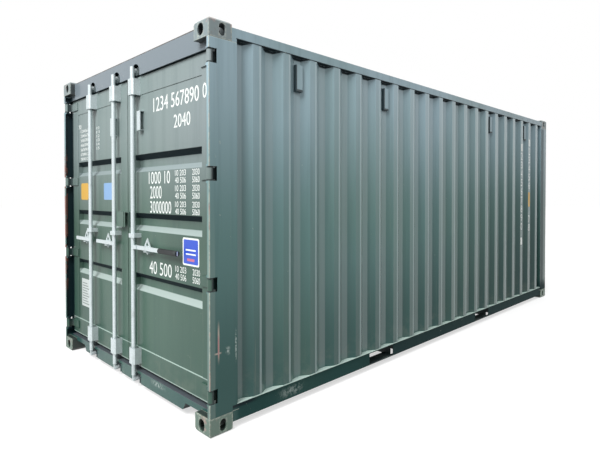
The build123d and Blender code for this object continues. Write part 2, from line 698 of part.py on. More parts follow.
def cross_member(x):
    """One channel across the container under the floor."""
    base = BOTTOM_RAIL_BASE + BOTTOM_RAIL_PLATE
    plate = CROSS_MEMBER_PLATE
    flange = CROSS_MEMBER_FLANGE
    half = WEB_INNER
    short = SIDE - BOTTOM_FLANGE_TOP
    beam = block(x, x + plate, -half, half, base, BOTTOM_RAIL_TOP - BOTTOM_RAIL_PLATE)
    beam += block(x, x + flange, -half, half, base, base + plate)
    beam -= block(x, x + flange, -half, half, FLOOR_BOTTOM, HEIGHT)
    return beam + block(x, x + flange, -short, short, FLOOR_BOTTOM - plate, FLOOR_BOTTOM)


def cross_member_places():
    """Where the cross members stand: evenly in each bay beside and between the pockets."""
    edge = POCKET_WIDTH / 2 + POCKET_PLATE
    bays = [(HEADER_BACK, POCKET_CENTRES[0] - edge), (POCKET_CENTRES[0] + edge, POCKET_CENTRES[1] - edge),
            (POCKET_CENTRES[1] + edge, CLOSED_POST_FRONT)]
    places = []
    for x0, x1 in bays:
        count = round((x1 - x0) / CROSS_MEMBER_PITCH)
        step = (x1 - x0) / count
        places += [x0 + step * (index + 0.5) for index in range(count)]
    return places


def floor():
    """The plywood sheets, in two rows."""
    half = SHEET_FACE - WAVE_DEPTH - SHEET - FLOOR_GAP
    x0 = POST_BACK
    x1 = CLOSED_END - SHEET_INSET - END_WAVE_DEPTH - SHEET - FLOOR_GAP
    length = (x1 - x0) / FLOOR_SHEETS
    sheets = []
    for index in range(FLOOR_SHEETS):
        start = x0 + index * length
        for side in (-1, 1):
            sheet = block(start, start + length - FLOOR_GAP, side * FLOOR_GAP / 2, side * half,
                          FLOOR_BOTTOM, FLOOR_TOP)
            for way in (-1, 1):
                sheet -= block(CLOSED_POST_FRONT, CLOSED_END, way * (SIDE - CLOSED_POST_WIDTH),
                               way * SIDE, 0, HEIGHT)
                sheet -= block(x0, CLOSED_END, way * (SIDE - BOTTOM_FLANGE_TOP), way * SIDE, 0,
                               BOTTOM_RAIL_TOP)
            sheets.append(sheet)
    return sheets


def vent_cover(wave):
    """One vent cover in a valley of the right wall: a thin hood, open below."""
    span = CLOSED_POST_FRONT - POST_BACK
    pitch = (span - WAVE_INNER) / SIDE_WAVES
    x = POST_BACK + WAVE_INNER / 2 + wave * pitch
    y0 = -(SHEET_FACE - WAVE_DEPTH)
    half = VENT_WIDTH / 2
    low, top = HEIGHT - VENT_BOTTOM_DROP, HEIGHT - VENT_TOP_DROP
    hood = block(x - half, x + half, y0 - VENT_PROUD, y0, low, top)
    return hood - block(x - half + SHEET, x + half - SHEET, y0 - VENT_PROUD + SHEET, y0,
                        low, top - SHEET)


def leaf_frame(side):
    """The tube frame of one door leaf: a narrow stile at the split, a wide one at the hinges."""
    near, far = LEAF_INNER + INNER_STILE, LEAF_OUTER - OUTER_STILE
    wall = TUBE_WALL
    frame = block(LEAF_FRONT, LEAF_BACK, side * LEAF_INNER, side * LEAF_OUTER, LEAF_BOTTOM, LEAF_TOP)
    frame -= block(LEAF_FRONT, LEAF_BACK, side * near, side * far, PANEL_BOTTOM, PANEL_TOP)
    x0, x1 = LEAF_FRONT + wall, LEAF_BACK - wall
    for start, end in ((LEAF_INNER, near), (far, LEAF_OUTER)):
        frame -= block(x0, x1, side * (start + wall), side * (end - wall), LEAF_BOTTOM, LEAF_TOP)
    for z0, z1 in ((LEAF_BOTTOM, PANEL_BOTTOM), (PANEL_TOP, LEAF_TOP)):
        frame -= block(x0, x1, side * (LEAF_INNER + wall), side * (LEAF_OUTER - wall), z0 + wall,
                       z1 - wall)
    return frame


def leaf_panel(side):
    """The pressed steel panel between the stiles, with three deep grooves across it."""
    tall = GROOVE_HEIGHT / 2
    flat = tall - GROOVE_SLOPE
    line = [(PANEL_BOTTOM, 0.0)]
    for drop in GROOVE_DROPS:
        centre = LEAF_TOP - drop
        line += [(centre - tall, 0.0), (centre - flat, -GROOVE_DEPTH)]
        line += [(centre + flat, -GROOVE_DEPTH), (centre + tall, 0.0)]
    line.append((PANEL_TOP, 0.0))
    outline = sheet_outline(line, GROOVE_SLOPE, GROOVE_DEPTH)
    start, end = LEAF_INNER + INNER_STILE, LEAF_OUTER - OUTER_STILE
    points = [(PANEL_FRONT - level, side * start, height) for height, level in outline]
    return prism(points, (0, side, 0), end - start)


def leaf_gasket(side):
    """The rubber ring behind one leaf, which closes on the posts, lip and threshold."""
    x0, x1 = LEAF_BACK, LEAF_BACK + GASKET_THICK
    inner, outer = LEAF_INNER, LEAF_OUTER
    ring = block(x0, x1, side * inner, side * outer, LEAF_BOTTOM - GASKET_DROP, LEAF_TOP)
    return ring - block(x0, x1, side * (inner + GASKET_WIDTH), side * (outer - GASKET_WIDTH),
                        LEAF_BOTTOM + GASKET_WIDTH, LEAF_TOP - GASKET_WIDTH)


def hinge_blade(side, height):
    """One hinge: a knuckle on the pin, a cranked strap to the leaf, and the pin itself."""
    z0, z1 = height - KNUCKLE_HEIGHT / 2, height + KNUCKLE_HEIGHT / 2
    pin_y = side * PIN_Y
    knuckle = Pos(PIN_X, pin_y, height) * Cylinder(KNUCKLE_RADIUS, KNUCKLE_HEIGHT)
    near = side * (PIN_Y - BLADE_OFFSET)
    far = side * (PIN_Y - BLADE_OFFSET - BLADE_THICK)
    bend = side * (PIN_Y - BLADE_OFFSET - BLADE_THICK - BLADE_BEND)
    tip = side * (LEAF_OUTER - BLADE_REACH)
    face = LEAF_FRONT - BLADE_THICK
    points = [(PIN_X, near, z0), (LEAF_FRONT, near, z0), (LEAF_FRONT, tip, z0), (face, tip, z0),
              (face, bend, z0), (face - BLADE_BEND, far, z0), (PIN_X, far, z0)]
    strap = prism(points, (0, 0, 1), z1 - z0)
    pin_length = HINGE_CUT_HEIGHT + 2 * LUG_THICK
    pin = Pos(PIN_X, pin_y, height) * round_bar(PIN_RADIUS, pin_length, PIN_FLATS)
    return knuckle + strap + pin


def guide_outline(y, seat, inset):
    """The outline of a rod bracket seen from above: two legs, two bends and a flat front."""
    front = ROD_X - ROD_RADIUS - GUIDE_BORE_CLEARANCE - GUIDE_PLATE + inset
    half = GUIDE_WIDTH / 2 - inset
    bend = GUIDE_BEND
    return [(seat, y - half), (front + bend, y - half), (front, y - half + bend),
            (front, y + half - bend), (front + bend, y + half), (seat, y + half)]


def rod_guide(side, at, height, tall):
    """A pressed bracket over a lock rod on the leaf, with a bored bush inside it."""
    y = side * at
    on_panel = PANEL_BOTTOM < height < PANEL_TOP
    seat = PANEL_FRONT if on_panel else LEAF_FRONT
    low = height - tall / 2
    cover = prism([(a, b, low) for a, b in guide_outline(y, seat, 0.0)], (0, 0, 1), tall)
    inside = [(a, b, low) for a, b in guide_outline(y, seat, GUIDE_PLATE)]
    cover -= prism(inside, (0, 0, 1), tall)
    bush_low = height - GUIDE_BUSH / 2
    bush = prism([(a, b, bush_low) for a, b, _ in inside], (0, 0, 1), GUIDE_BUSH)
    bore = round_bar(ROD_RADIUS + GUIDE_BORE_CLEARANCE, 2 * tall, GUIDE_BORE_FLATS)
    return cover + bush - Pos(ROD_X, y, height) * bore


def rod_cam(y, centre, way):
    """One cam: a square shank along the rod, an arm and a round nose."""
    web = CAM_WEB / 2
    shank = block(ROD_X - web, ROD_X + web, y - web, y + web, centre, centre + way * CAM_WEB_HEIGHT)
    arm = block(ROD_X - web, ROD_X + CAM_REACH, y - web, y + web, centre - CAM_NOSE_RADIUS,
                centre + CAM_NOSE_RADIUS)
    nose = Rot(0, 90, 0) * round_bar(CAM_NOSE_RADIUS, CAM_REACH, PIN_FLATS)
    return shank + arm + Pos(ROD_X + CAM_REACH / 2, y, centre) * nose


def clevis(side, y):
    """The two plates on a rod and the pin between them that carries a handle."""
    gap = HANDLE_THICK / 2 + CLEVIS_GAP
    reach = HANDLE_PIVOT_REACH + HANDLE_DEPTH / 2
    half = HANDLE_DEPTH / 2
    low, high = HANDLE_HEIGHT - half, HANDLE_HEIGHT + half
    front = block(ROD_X - gap - CLEVIS_PLATE, ROD_X - gap, y, y + side * reach, low, high)
    back = block(ROD_X + gap, ROD_X + gap + CLEVIS_PLATE, y, y + side * reach, low, high)
    pin = Rot(0, 90, 0) * round_bar(HANDLE_PIN_RADIUS, 2 * (gap + CLEVIS_PLATE), PIN_FLATS)
    return front + back + Pos(ROD_X, y + side * HANDLE_PIVOT_REACH, HANDLE_HEIGHT) * pin


def lock_rod(side, at):
    """One lock rod: the bar, the cam welded to each end, and the clevis for its handle."""
    y = side * at
    bar = Pos(ROD_X, y, (ROD_BOTTOM + ROD_TOP) / 2) * Cylinder(ROD_RADIUS, ROD_TOP - ROD_BOTTOM)
    cams = [rod_cam(y, CAM_TOP_CENTRE, -1) - bar, rod_cam(y, CAM_FOOT_CENTRE, 1) - bar]
    return [bar, *cams, clevis(side, y) - bar]


def handle(side, at, tip):
    """The flat bar that lifts on its pin and then turns the rod."""
    pivot = side * (at + HANDLE_PIVOT_REACH)
    half = HANDLE_DEPTH / 2
    thick = HANDLE_THICK / 2
    bar = block(ROD_X - thick, ROD_X + thick, pivot, side * tip, HANDLE_HEIGHT - half,
                HANDLE_HEIGHT + half)
    bar += Pos(ROD_X, pivot, HANDLE_HEIGHT) * Rot(0, 90, 0) * Cylinder(half, HANDLE_THICK)
    eye = Rot(0, 90, 0) * round_bar(HANDLE_PIN_RADIUS + PIN_CLEARANCE, HANDLE_THICK * 2, PIN_FLATS)
    return bar - Pos(ROD_X, pivot, HANDLE_HEIGHT) * eye


def grip(side, tip):
    """The rubber sleeve on the end of the right handle."""
    length = tip - GRIP_START
    middle = side * (GRIP_START + length / 2)
    sleeve = Pos(ROD_X, middle, HANDLE_HEIGHT) * Rot(90, 0, 0) * Cylinder(GRIP_RADIUS, length)
    half = HANDLE_DEPTH / 2
    thick = HANDLE_THICK / 2
    return sleeve - block(ROD_X - thick, ROD_X + thick, side * GRIP_START, side * tip,
                          HANDLE_HEIGHT - half, HANDLE_HEIGHT + half)


def catch(side, at):
    """The pointed plate behind a handle, on a stem from the leaf, with a shelf under the handle."""
    y = side * at
    front = ROD_X + HANDLE_THICK / 2 + MOVING_CLEARANCE
    back = front + CATCH_PLATE
    shoulder = HANDLE_HEIGHT + CATCH_SHOULDER_RISE
    peak, tip = HANDLE_HEIGHT + CATCH_TOP_RISE, HANDLE_HEIGHT - CATCH_TIP_DROP
    half = CATCH_HALF_WIDTH
    plate = prism([(front, y, tip), (front, y + half, shoulder), (front, y, peak),
                   (front, y - half, shoulder)], (1, 0, 0), CATCH_PLATE)
    inner = half - 2 * CATCH_RIM
    plate -= prism([(front, y - inner, shoulder + CATCH_RIM), (front, y + inner, shoulder + CATCH_RIM),
                    (front, y, peak - 2 * CATCH_RIM)], (1, 0, 0), CATCH_PLATE)
    stem = CATCH_STEM / 2
    plate += block(back, PANEL_FRONT, y - stem, y + stem, tip + CATCH_RIM, shoulder)
    shelf_top = HANDLE_HEIGHT - HANDLE_DEPTH / 2 - MOVING_CLEARANCE
    shelf = CATCH_SHELF / 2
    return plate + block(ROD_X - CATCH_REACH, front, y - shelf, y + shelf, shelf_top - CATCH_PLATE,
                         shelf_top)


def hold_box(side, at):
    """A thin box high on the leaf, open to the right."""
    y0, y1 = side * at - HOLD_BOX_WIDTH / 2, side * at + HOLD_BOX_WIDTH / 2
    front = PANEL_FRONT - HOLD_BOX_PROUD
    plate = HOLD_BOX_PLATE
    box = block(front, PANEL_FRONT, y0, y1, HOLD_BOX_BOTTOM, HOLD_BOX_TOP)
    return box - block(front + plate, PANEL_FRONT, y0, y1 - plate, HOLD_BOX_BOTTOM + plate,
                       HOLD_BOX_TOP - plate)


def keeper(y, front, centre):
    """A U-shaped keeper round one cam, in its recess, open to the outside."""
    inner = KEEPER_INNER
    outer = inner + KEEPER_PLATE
    z0, z1 = centre - KEEPER_HEIGHT / 2, centre + KEEPER_HEIGHT / 2
    shape = block(front, KEEPER_BACK, y - outer, y + outer, z0, z1)
    return shape - block(front, KEEPER_BACK - KEEPER_PLATE, y - inner, y + inner, z0, z1)


def keepers():
    """The keepers of all lock rods, in the header and in the sill."""
    top = [keeper(y, HEADER_FRONT, HEADER_BOTTOM + KEEPER_TOP_RISE) for y in rod_places()]
    return top + [keeper(y, SILL_FRONT, SILL_BOTTOM + KEEPER_FOOT_RISE) for y in rod_places()]


def lock_box(name):
    """Half of the lock box over the split, open below; the right half is open in front too."""
    side, end = SIDES[name], LOCK_BOX_ENDS[name]
    x0 = LEAF_FRONT - LOCK_BOX_PROUD
    wall = LOCK_BOX_PLATE
    box = block(x0, LEAF_FRONT, side * LEAF_INNER, side * end, LOCK_BOX_BOTTOM, LOCK_BOX_TOP)
    box -= block(x0 + wall, LEAF_FRONT, side * LEAF_INNER, side * (end - wall), LOCK_BOX_BOTTOM,
                 LOCK_BOX_TOP - wall)
    if name == "right":
        box -= block(x0, x0 + wall, side * LOCK_BOX_OPEN_FROM, side * (end - wall), LOCK_BOX_BOTTOM,
                     LOCK_BOX_TOP - wall)
    return box


def save_castings():
    """Write the eight castings, each a node of its own."""
    for level in ("top", "bottom"):
        near = casting(level == "top")
        save(level + "_casting_door_right", near)
        save(level + "_casting_door_left", flip_side(near))
        save(level + "_casting_closed_right", flip_end(near))
        save(level + "_casting_closed_left", flip_end(flip_side(near)))


def save_shell():
    """Write the fixed frame, walls, roof and floor."""
    post = door_post()
    save("door_post_right", post)
    save("door_post_left", flip_side(post))
    back_post = closed_post()
    save("closed_end_posts", back_post, flip_side(back_post))
    wall = side_wall()
    save("side_wall_right", wall)
    save("side_wall_left", flip_side(wall))
    save("end_wall", end_wall())
    save("roof", roof())
    rail = top_side_rail()
    save("top_side_rails", rail, flip_side(rail))
    low_rail = bottom_side_rail()
    save("bottom_side_rail_right", low_rail)
    save("bottom_side_rail_left", flip_side(low_rail))
    save("end_top_rail", end_top_rail())
    save("end_bottom_rail", end_bottom_rail())
    save("door_header", *header())
    save("door_sill", *sill())
    places = rod_places()
    plates = [plate for y in places for plate in header_pocket(y) + sill_pocket(y)]
    save("cam_pockets", *plates)
    save("door_stops", *door_stops())
    save("rod_keepers", *keepers())
    save("fork_pocket_linings", *[fork_pocket(centre) for centre in POCKET_CENTRES])
    save("cross_members", *[cross_member(x) for x in cross_member_places()])
    save("floor_boards", *floor())
    vents = [vent_cover(wave) for wave in VENT_WAVES]
    save("vent_covers", *vents, *[flip_side(vent) for vent in vents])


def save_doors():
    """Write the two doors with their hinges, guides, catches and lock box halves."""
    for name, side in SIDES.items():
        door = "door_" + name
        save(door + "_frame", leaf_frame(side))
        save(door + "_panel", leaf_panel(side))
        save(door + "_gasket", leaf_gasket(side))
        save(door + "_hinges", *[hinge_blade(side, height) for height in HINGE_HEIGHTS])
        guides = [rod_guide(side, at, *place) for at in RODS[name] for place in GUIDE_PLACES]
        save(door + "_rod_guides", *guides)
        catches = [catch(side, at) for at in CATCH_POSITIONS[name]]
        save(door + "_catches", *catches, hold_box(side, HOLD_BOXES[name]))
        save(door + "_lock_box", lock_box(name))


def save_lock_gear():
    """Write the lock rods, their handles and the rubber grip."""
    names = {"right": ("right",), "left": ("left_inner", "left_outer")}
    for door, side in SIDES.items():
        for name, at, tip in zip(names[door], RODS[door], HANDLE_TIPS[door]):
            save("lock_rod_" + name, *lock_rod(side, at))
            save("handle_" + name, handle(side, at, tip))
    save("handle_grip", grip(SIDES["right"], HANDLE_TIPS["right"][0]))


os.makedirs("parts", exist_ok=True)
save_castings()
save_shell()
save_doors()
save_lock_gear()
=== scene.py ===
import json
import math

import bpy
from mathutils import Euler, Matrix, Vector


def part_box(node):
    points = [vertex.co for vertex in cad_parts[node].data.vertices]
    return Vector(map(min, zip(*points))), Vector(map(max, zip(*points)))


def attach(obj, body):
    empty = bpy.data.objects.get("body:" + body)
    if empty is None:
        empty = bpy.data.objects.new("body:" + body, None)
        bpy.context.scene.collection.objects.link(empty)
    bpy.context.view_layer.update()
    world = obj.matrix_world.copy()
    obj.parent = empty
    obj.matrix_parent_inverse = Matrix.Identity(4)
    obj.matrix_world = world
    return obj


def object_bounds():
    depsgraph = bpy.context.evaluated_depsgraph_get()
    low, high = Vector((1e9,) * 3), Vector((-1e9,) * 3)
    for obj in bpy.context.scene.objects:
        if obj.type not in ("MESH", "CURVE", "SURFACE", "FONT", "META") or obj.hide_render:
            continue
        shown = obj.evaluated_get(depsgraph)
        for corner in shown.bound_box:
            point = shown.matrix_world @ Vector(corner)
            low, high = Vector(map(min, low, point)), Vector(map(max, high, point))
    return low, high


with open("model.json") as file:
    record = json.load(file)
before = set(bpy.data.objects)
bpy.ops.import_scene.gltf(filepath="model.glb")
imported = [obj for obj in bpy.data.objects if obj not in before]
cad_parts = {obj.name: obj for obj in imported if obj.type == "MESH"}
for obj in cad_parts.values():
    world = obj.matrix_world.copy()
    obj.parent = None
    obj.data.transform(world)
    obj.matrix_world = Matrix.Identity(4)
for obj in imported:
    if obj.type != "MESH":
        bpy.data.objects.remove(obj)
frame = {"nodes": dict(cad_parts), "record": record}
cad_low, cad_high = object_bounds()

NODES = frame["nodes"]
LENGTH, WIDTH, HEIGHT = (high - low for low, high in zip(cad_low, cad_high))
END = LENGTH / 2
SIDE = WIDTH / 2

# Camera, fitted to the corner castings in the photograph
CAMERA_PLACE = (-4.714, -3.598, 1.499)
CAMERA_TURN = (89.14, 0.07, -43.13)
CAMERA_LENS = 28.44
CAMERA_SHIFT = (0.0429, -0.0371)

# Places and sizes of the parts that carry something, in metres
LEAF_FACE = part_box("door_right_frame")[0].x
PANEL_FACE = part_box("door_right_panel")[0].x
GUIDE_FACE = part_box("door_right_rod_guides")[0].x
HEADER_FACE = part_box("door_header")[0].x
CASTING_LENGTH = 0.178
CASTING_WIDTH = 0.162
CASTING_HEIGHT = 0.118
LOCK_INSET_X = 0.1025
LOCK_INSET_Y = 0.0895
WALL_START, WALL_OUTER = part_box("side_wall_right")[0].x, -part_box("side_wall_right")[0].y
WALL_BOTTOM, WALL_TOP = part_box("side_wall_right")[0].z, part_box("side_wall_right")[1].z
WAVES = 20
WAVE_INNER = 0.070
WAVE_SLOPE = 0.068
WAVE_DEPTH = 0.036
WAVE_PITCH = (-2 * WALL_START - WAVE_INNER) / WAVES
PANEL_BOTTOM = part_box("door_right_panel")[0].z
VENT_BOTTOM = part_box("vent_covers")[0].z
LEAF_BOTTOM, LEAF_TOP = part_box("door_right_frame")[0].z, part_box("door_right_frame")[1].z
SILL_TOP = 0.141
POST_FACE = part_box("door_post_right")[0].x
RECESS_SHADE_MIDDLE = 2.872  # of the painted shade that stands for a recess in the closed-end posts
HEADER_TOP = HEIGHT - 0.014
GROOVES = tuple(LEAF_TOP - drop for drop in (1.590, 1.120, 0.666))
GROOVE_HALF = 0.069
GROOVE_SLOPE = 0.040
POCKET_HALF = 0.066
POCKET_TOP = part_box("door_header")[0].z + 0.095
ARCH_STEPS = 16
ARCH_THICK = 0.003
RODS = {"door_right": (-0.172,), "door_left": (0.163, 0.645)}

# Hinge pins and the washers on them
HINGE_HEIGHTS = (LEAF_TOP - 0.058, LEAF_TOP - 0.781, LEAF_BOTTOM + 0.781, LEAF_BOTTOM + 0.084)
PIN_X, PIN_Y = -3.007, 1.197
KNUCKLE_HALF = 0.035
WASHER_RADIUS, WASHER_THICK, WASHER_GAP, WASHER_FLATS = 0.0195, 0.009, 0.0005, 16

# Rivets, where each rod bracket has its height and how far its rivets lie above and below it
RIVET_RADIUS, RIVET_RISE, RIVET_TAPER, RIVET_FLATS = 0.0075, 0.0018, 0.6, 14
GUIDE_RIVETS = ((2.337, 0.048), (1.192, 0.0), (0.258, 0.048))
RIVET_ACROSS = 0.018

# Weld beads
BEAD_RADIUS, BEAD_STEP, BEAD_WOBBLE, BEAD_SEED, BEAD_FLATS = 0.003, 0.012, 0.001, 4, 6
BEAD_LIFT, BEAD_INSET = 0.001, 0.01
BEAD_OUTER, BEAD_INNER = WALL_OUTER - 0.001, WALL_OUTER - WAVE_DEPTH - 0.0015

# Marks, and how far they stand out. The plate's rivets lie one corner radius inside its box.
PAINT_THICK = 0.0005
LABEL_FRAME, LABEL_FACE, LABEL_PRINT = 0.0006, 0.0009, 0.0012
PATCH_THICK = 0.0008
PLATE_BOX, PLATE_CORNER, PLATE_THICK = (-0.980, -0.790, 0.452, 0.712), 0.008, 0.0016
ENGRAVING_RISE = 0.0020
DIGIT_HALF, DIGIT_HEIGHT, DIGIT_STEP = 0.026, 0.095, 0.118

# Worn spots on the posts, the header, the right rail and the sill: centre, half size, and the part
# of the half size that is fully worn
HEADER_EDGE = ((HEADER_FACE, 0.0, HEADER_TOP), (0.03, 1.2, 0.007), 0.8)
RED_EDGE = ((-END, SIDE, 1.25), (0.03, 0.03, 0.75), 0.7)
SCRAPE_UPRIGHT = ((-2.961, -SIDE, 0.585), (0.009, 0.01, 0.15), 0.35)
SCRAPE_LEVEL = ((-2.966, -SIDE, 0.517), (0.034, 0.01, 0.008), 0.3)
SCRAPE_CORE = ((-2.962, -SIDE, 0.56), (0.006, 0.01, 0.085), 0.4)
POST_SCUFF = ((-2.888, -SIDE, 0.52), (0.024, 0.01, 0.035), 0.1)
POST_BACK_SCUFF = ((-2.824, -SIDE, 0.54), (0.008, 0.02, 0.12), 0.4)
RAIL_SCUFF = ((-2.31, -SIDE, 0.10), (0.16, 0.02, 0.05), 0.1)
SILL_SCUFF = ((HEADER_FACE, -0.5, 0.115), (0.02, 0.13, 0.03), 0.1)

# Colours as they are seen, turned into Blender's own values by tint. The walls and the doors have
# one for their top, one for their middle and one for their bottom: the paler top and darker bottom
# are painted sky light and shade.
WALL_PAINTS = ("#98b0ba", "#597b79", "#2a504c")
DOOR_PAINTS = ("#848f91", "#465c52", "#38554a")
# The second colour is painted shade, used on the bottom rail and on the walls' slopes.
HEADER_PAINT, RAIL_SHADE = "#747f86", "#0f292a"
CASTING_TOP_PAINT, CASTING_LOW_PAINT = "#7c898b", "#5f7469"
WORN_PAINT = "#b7bdb0"
RUST = "#7a4a38"
RUST_PALE = "#b18c84"
DUST = "#8d8f80"
ZINC = "#d0dadc"
ZINC_DARK = "#a0adaf"
RUBBER = "#15191a"
PLYWOOD = "#8a6a48"
UNDERSIDE = "#1d2a2b"
SHADE = "#0b1d23"
LEDGE_HIGHLIGHT = "#b9cdc6"
CREST_HIGHLIGHT = "#d3e2e4"
FRONT_HIGHLIGHT = "#8b9d96"
TREAD_SHADE = "#50545a"
SLOPE_LOW_HIGHLIGHT, SLOPE_TOP_HIGHLIGHT = "#a7b5b1", "#8a9698"
MARK_WHITE = "#e9eeeb"
LABEL_BLUE = "#2a4fc0"
LABEL_RED = "#c06a86"
PATCH_BLUE = "#7fa6d0"
PATCH_YELLOW = "#cfa133"
PLATE_PALE = "#c2cbc8"
CLOUD_GREEN = "#5c7d6c"
STREAK_DARK = "#31494a"
# Painted shade towards the far end.
FAR_SHADE = "#223a3b"
EDGE_BROWN = "#4d4540"
EDGE_RED = "#8a5a50"
SCRAPE_PALE = "#b3a89c"
SCRAPE_PINK = "#b0747a"
SCUFF_PALE = "#a7b5b0"
CASTING_SHADE = "#14191b"
ZINC_GRIME = "#8f9793"
RUBBER_DUST = "#4b5252"
UNDERSIDE_DIRT = "#3b4644"
UNDERSIDE_RUST = "#5a4238"
PLYWOOD_DARK = "#6a4c30"
PLYWOOD_SCUFF = "#a08c72"
# A darker copy of the zinc colours: painted shade on the rod keepers.
KEEPER_SHADED_PALE = "#6d797b"
KEEPER_SHADED_DULL = "#3c4749"
ENGRAVING = "#7d8987"
FLOOR_BOUNCE, FLOOR_SEEN = (0.06, 0.06, 0.06, 1.0), (0.45, 0.45, 0.45, 1.0)
FLOOR_GLOW = (0.6, 0.6, 0.6, 1.0)
COAT_IOR, COAT_ROUGHNESS = 1.33, 0.12


def tint(code):
    """A colour given as it is seen, through the sRGB curve into the values that shaders use."""
    parts = [int(code[start:start + 2], 16) / 255 for start in (1, 3, 5)]
    light = [((part + 0.055) / 1.055) ** 2.4 if part > 0.04045 else part / 12.92 for part in parts]
    return (*light, 1.0)


class Amount:
    """A number that varies over a surface, on which plain sums add Math nodes."""

    def __init__(self, recipe, socket):
        self.recipe = recipe
        self.socket = socket

    def sum(self, operation, *values, clamp=False):
        settings = {"operation": operation, "use_clamp": clamp}
        return self.recipe.add("ShaderNodeMath", settings, dict(enumerate(values)))

    def __add__(self, other):
        return self.sum("ADD", self, other)

    def __radd__(self, other):
        return self.sum("ADD", other, self)

    def __sub__(self, other):
        return self.sum("SUBTRACT", self, other)

    def __rsub__(self, other):
        return self.sum("SUBTRACT", other, self)

    def __mul__(self, other):
        return self.sum("MULTIPLY", self, other)

    def __mod__(self, other):
        return self.sum("FLOORED_MODULO", self, other)

    def size(self):
        return self.sum("ABSOLUTE", self)

    def least(self, other):
        return self.sum("MINIMUM", self, other)

    def most(self, other):
        return self.sum("MAXIMUM", self, other)

    def clamped(self):
        return self.sum("ADD", self, 0.0, clamp=True)


class Recipe:
    """One material: its nodes, and the few patterns that the finishes share."""

    def __init__(self, name, metallic=0.0, roughness=0.5, coat=0.0, shine=0.5):
        self.material = bpy.data.materials.new(name)
        self.material.use_nodes = True
        self.tree = self.material.node_tree
        self.shader = self.tree.nodes["Principled BSDF"]
        self.shader.inputs["Metallic"].default_value = metallic
        self.shader.inputs["Roughness"].default_value = roughness
        self.shader.inputs["Coat Weight"].default_value = coat
        self.shader.inputs["Coat IOR"].default_value = COAT_IOR
        self.shader.inputs["Coat Roughness"].default_value = COAT_ROUGHNESS
        self.shader.inputs["Specular IOR Level"].default_value = shine
        self.place = self.add("ShaderNodeTexCoord", {}, {}, "Object")

    def add(self, kind, settings, values, output=0):
        """Add a node, set it up, fill its sockets, and give back one output."""
        node = self.tree.nodes.new(kind)
        for key, value in settings.items():
            setattr(node, key, value)
        for key, value in values.items():
            self.fill(node.inputs[key], value)
        return Amount(self, node.outputs[output])

    def fill(self, socket, value):
        """Link a varying value to a socket, or set a fixed one on it."""
        if isinstance(value, Amount):
            self.tree.links.new(value.socket, socket)
        else:
            socket.default_value = value

    def axis(self, name):
        """One coordinate of the object's own space, in metres."""
        return self.add("ShaderNodeSeparateXYZ", {}, {"Vector": self.place}, name)

    def stretched(self, scale):
        """The coordinates stretched by three factors."""
        return self.add("ShaderNodeMapping", {}, {"Vector": self.place, "Scale": scale})

    def noise(self, scale, detail=2.0, rough=0.5, stretch=None):
        """Cloudy noise between 0 and 1."""
        place = self.stretched(stretch) if stretch else self.place
        return self.add("ShaderNodeTexNoise", {}, {"Vector": place, "Scale": scale, "Detail": detail,
                                                  "Roughness": rough}, "Fac")

    def ramp(self, amount, low, high):
        """A smooth step from 0 at low to 1 at high."""
        settings = {"interpolation_type": "SMOOTHSTEP", "clamp": True}
        return self.add("ShaderNodeMapRange", settings, {"Value": amount, "From Min": low, "From Max": high})

    def band(self, amount, centre, edge, core):
        """1 where an amount is within core of a centre, fading to 0 at edge."""
        return self.ramp((amount - centre).size(), edge, core)

    def blend(self, amount, first, second):
        """Mix two colours by an amount. The node's colours are its inputs 6 and 7 and output 2."""
        node = self.tree.nodes.new("ShaderNodeMix")
        node.data_type = "RGBA"
        self.fill(node.inputs["Factor"], amount)
        self.fill(node.inputs[6], first)
        self.fill(node.inputs[7], second)
        return Amount(self, node.outputs[2])

    def cover(self, base, amount, code):
        """Lay a colour over a base by an amount."""
        return self.blend(amount, base, tint(code))

    def insets(self):
        """How far a point lies inside the ends, the sides and the nearer of top and bottom."""
        height = self.axis("Z")
        return END - self.axis("X").size(), SIDE - self.axis("Y").size(), height.least(HEIGHT - height)

    def near_edge(self, distances, reach):
        """1 on an edge, where two of three distances to outer faces are small, and 0 beyond a reach."""
        first, second, third = distances
        edge = first.least(second).most(first.most(second).least(third))
        return self.ramp(edge, reach, 0.0)

    def strip(self, centre, half, core):
        """1 in the core of a small box round a place, fading to 0 at its faces."""
        mask = None
        for name, middle, room in zip("XYZ", centre, half):
            part = self.band(self.axis(name), middle, room, room * core)
            mask = part if mask is None else mask * part
        return mask

    def colour(self, value):
        self.fill(self.shader.inputs["Base Color"], value)

    def roughness(self, value):
        self.fill(self.shader.inputs["Roughness"], value)

    def coat(self, value):
        self.fill(self.shader.inputs["Coat Weight"], value)

    def bump(self, height, strength, distance):
        """Raise the surface by a pattern."""
        values = {"Height": height, "Strength": strength, "Distance": distance}
        self.fill(self.shader.inputs["Normal"], self.add("ShaderNodeBump", {}, values))


# In these finishes a ramp's two numbers are where it is 0 and where it is 1, and so are the last
# two of a band. Places are in metres, and a number that multiplies a mask is how much shows of it.

def painted(paint, top, middle, low, high=2.5):
    """Old gloss paint with rain streaks, paler above and darker below as painted sky light and shade, and
    darker towards the far end as painted shade.
    """
    height = paint.axis("Z")
    # Paler towards the top and darker towards the bottom: painted sky light and shade.
    base = paint.blend(paint.ramp(height, 0.25, 1.35), tint(low), tint(middle))
    base = paint.cover(base, paint.ramp(height, 1.15, high), top)
    clouds = paint.noise(0.9, 2.0, 0.5, (1.0, 1.0, 0.5))
    base = paint.cover(base, paint.ramp(clouds, 0.42, 0.62) * 0.22, CLOUD_GREEN)
    streaks = paint.noise(1.0, 4.0, 0.6, (14.0, 14.0, 0.5))
    base = paint.cover(base, paint.ramp(streaks, 0.45, 0.7) * 0.16, STREAK_DARK)
    drips = paint.noise(1.0, 3.0, 0.7, (38.0, 38.0, 1.1))
    # Darker towards the far end and low down: painted shade.
    far = paint.ramp(paint.axis("X"), -1.0, 3.2) * (0.22 + paint.ramp(height, 2.2, 0.8) * 0.3)
    base = paint.cover(base, far, FAR_SHADE)
    return paint.cover(base, paint.ramp(drips, 0.60, 0.74) * 0.12, DUST), streaks


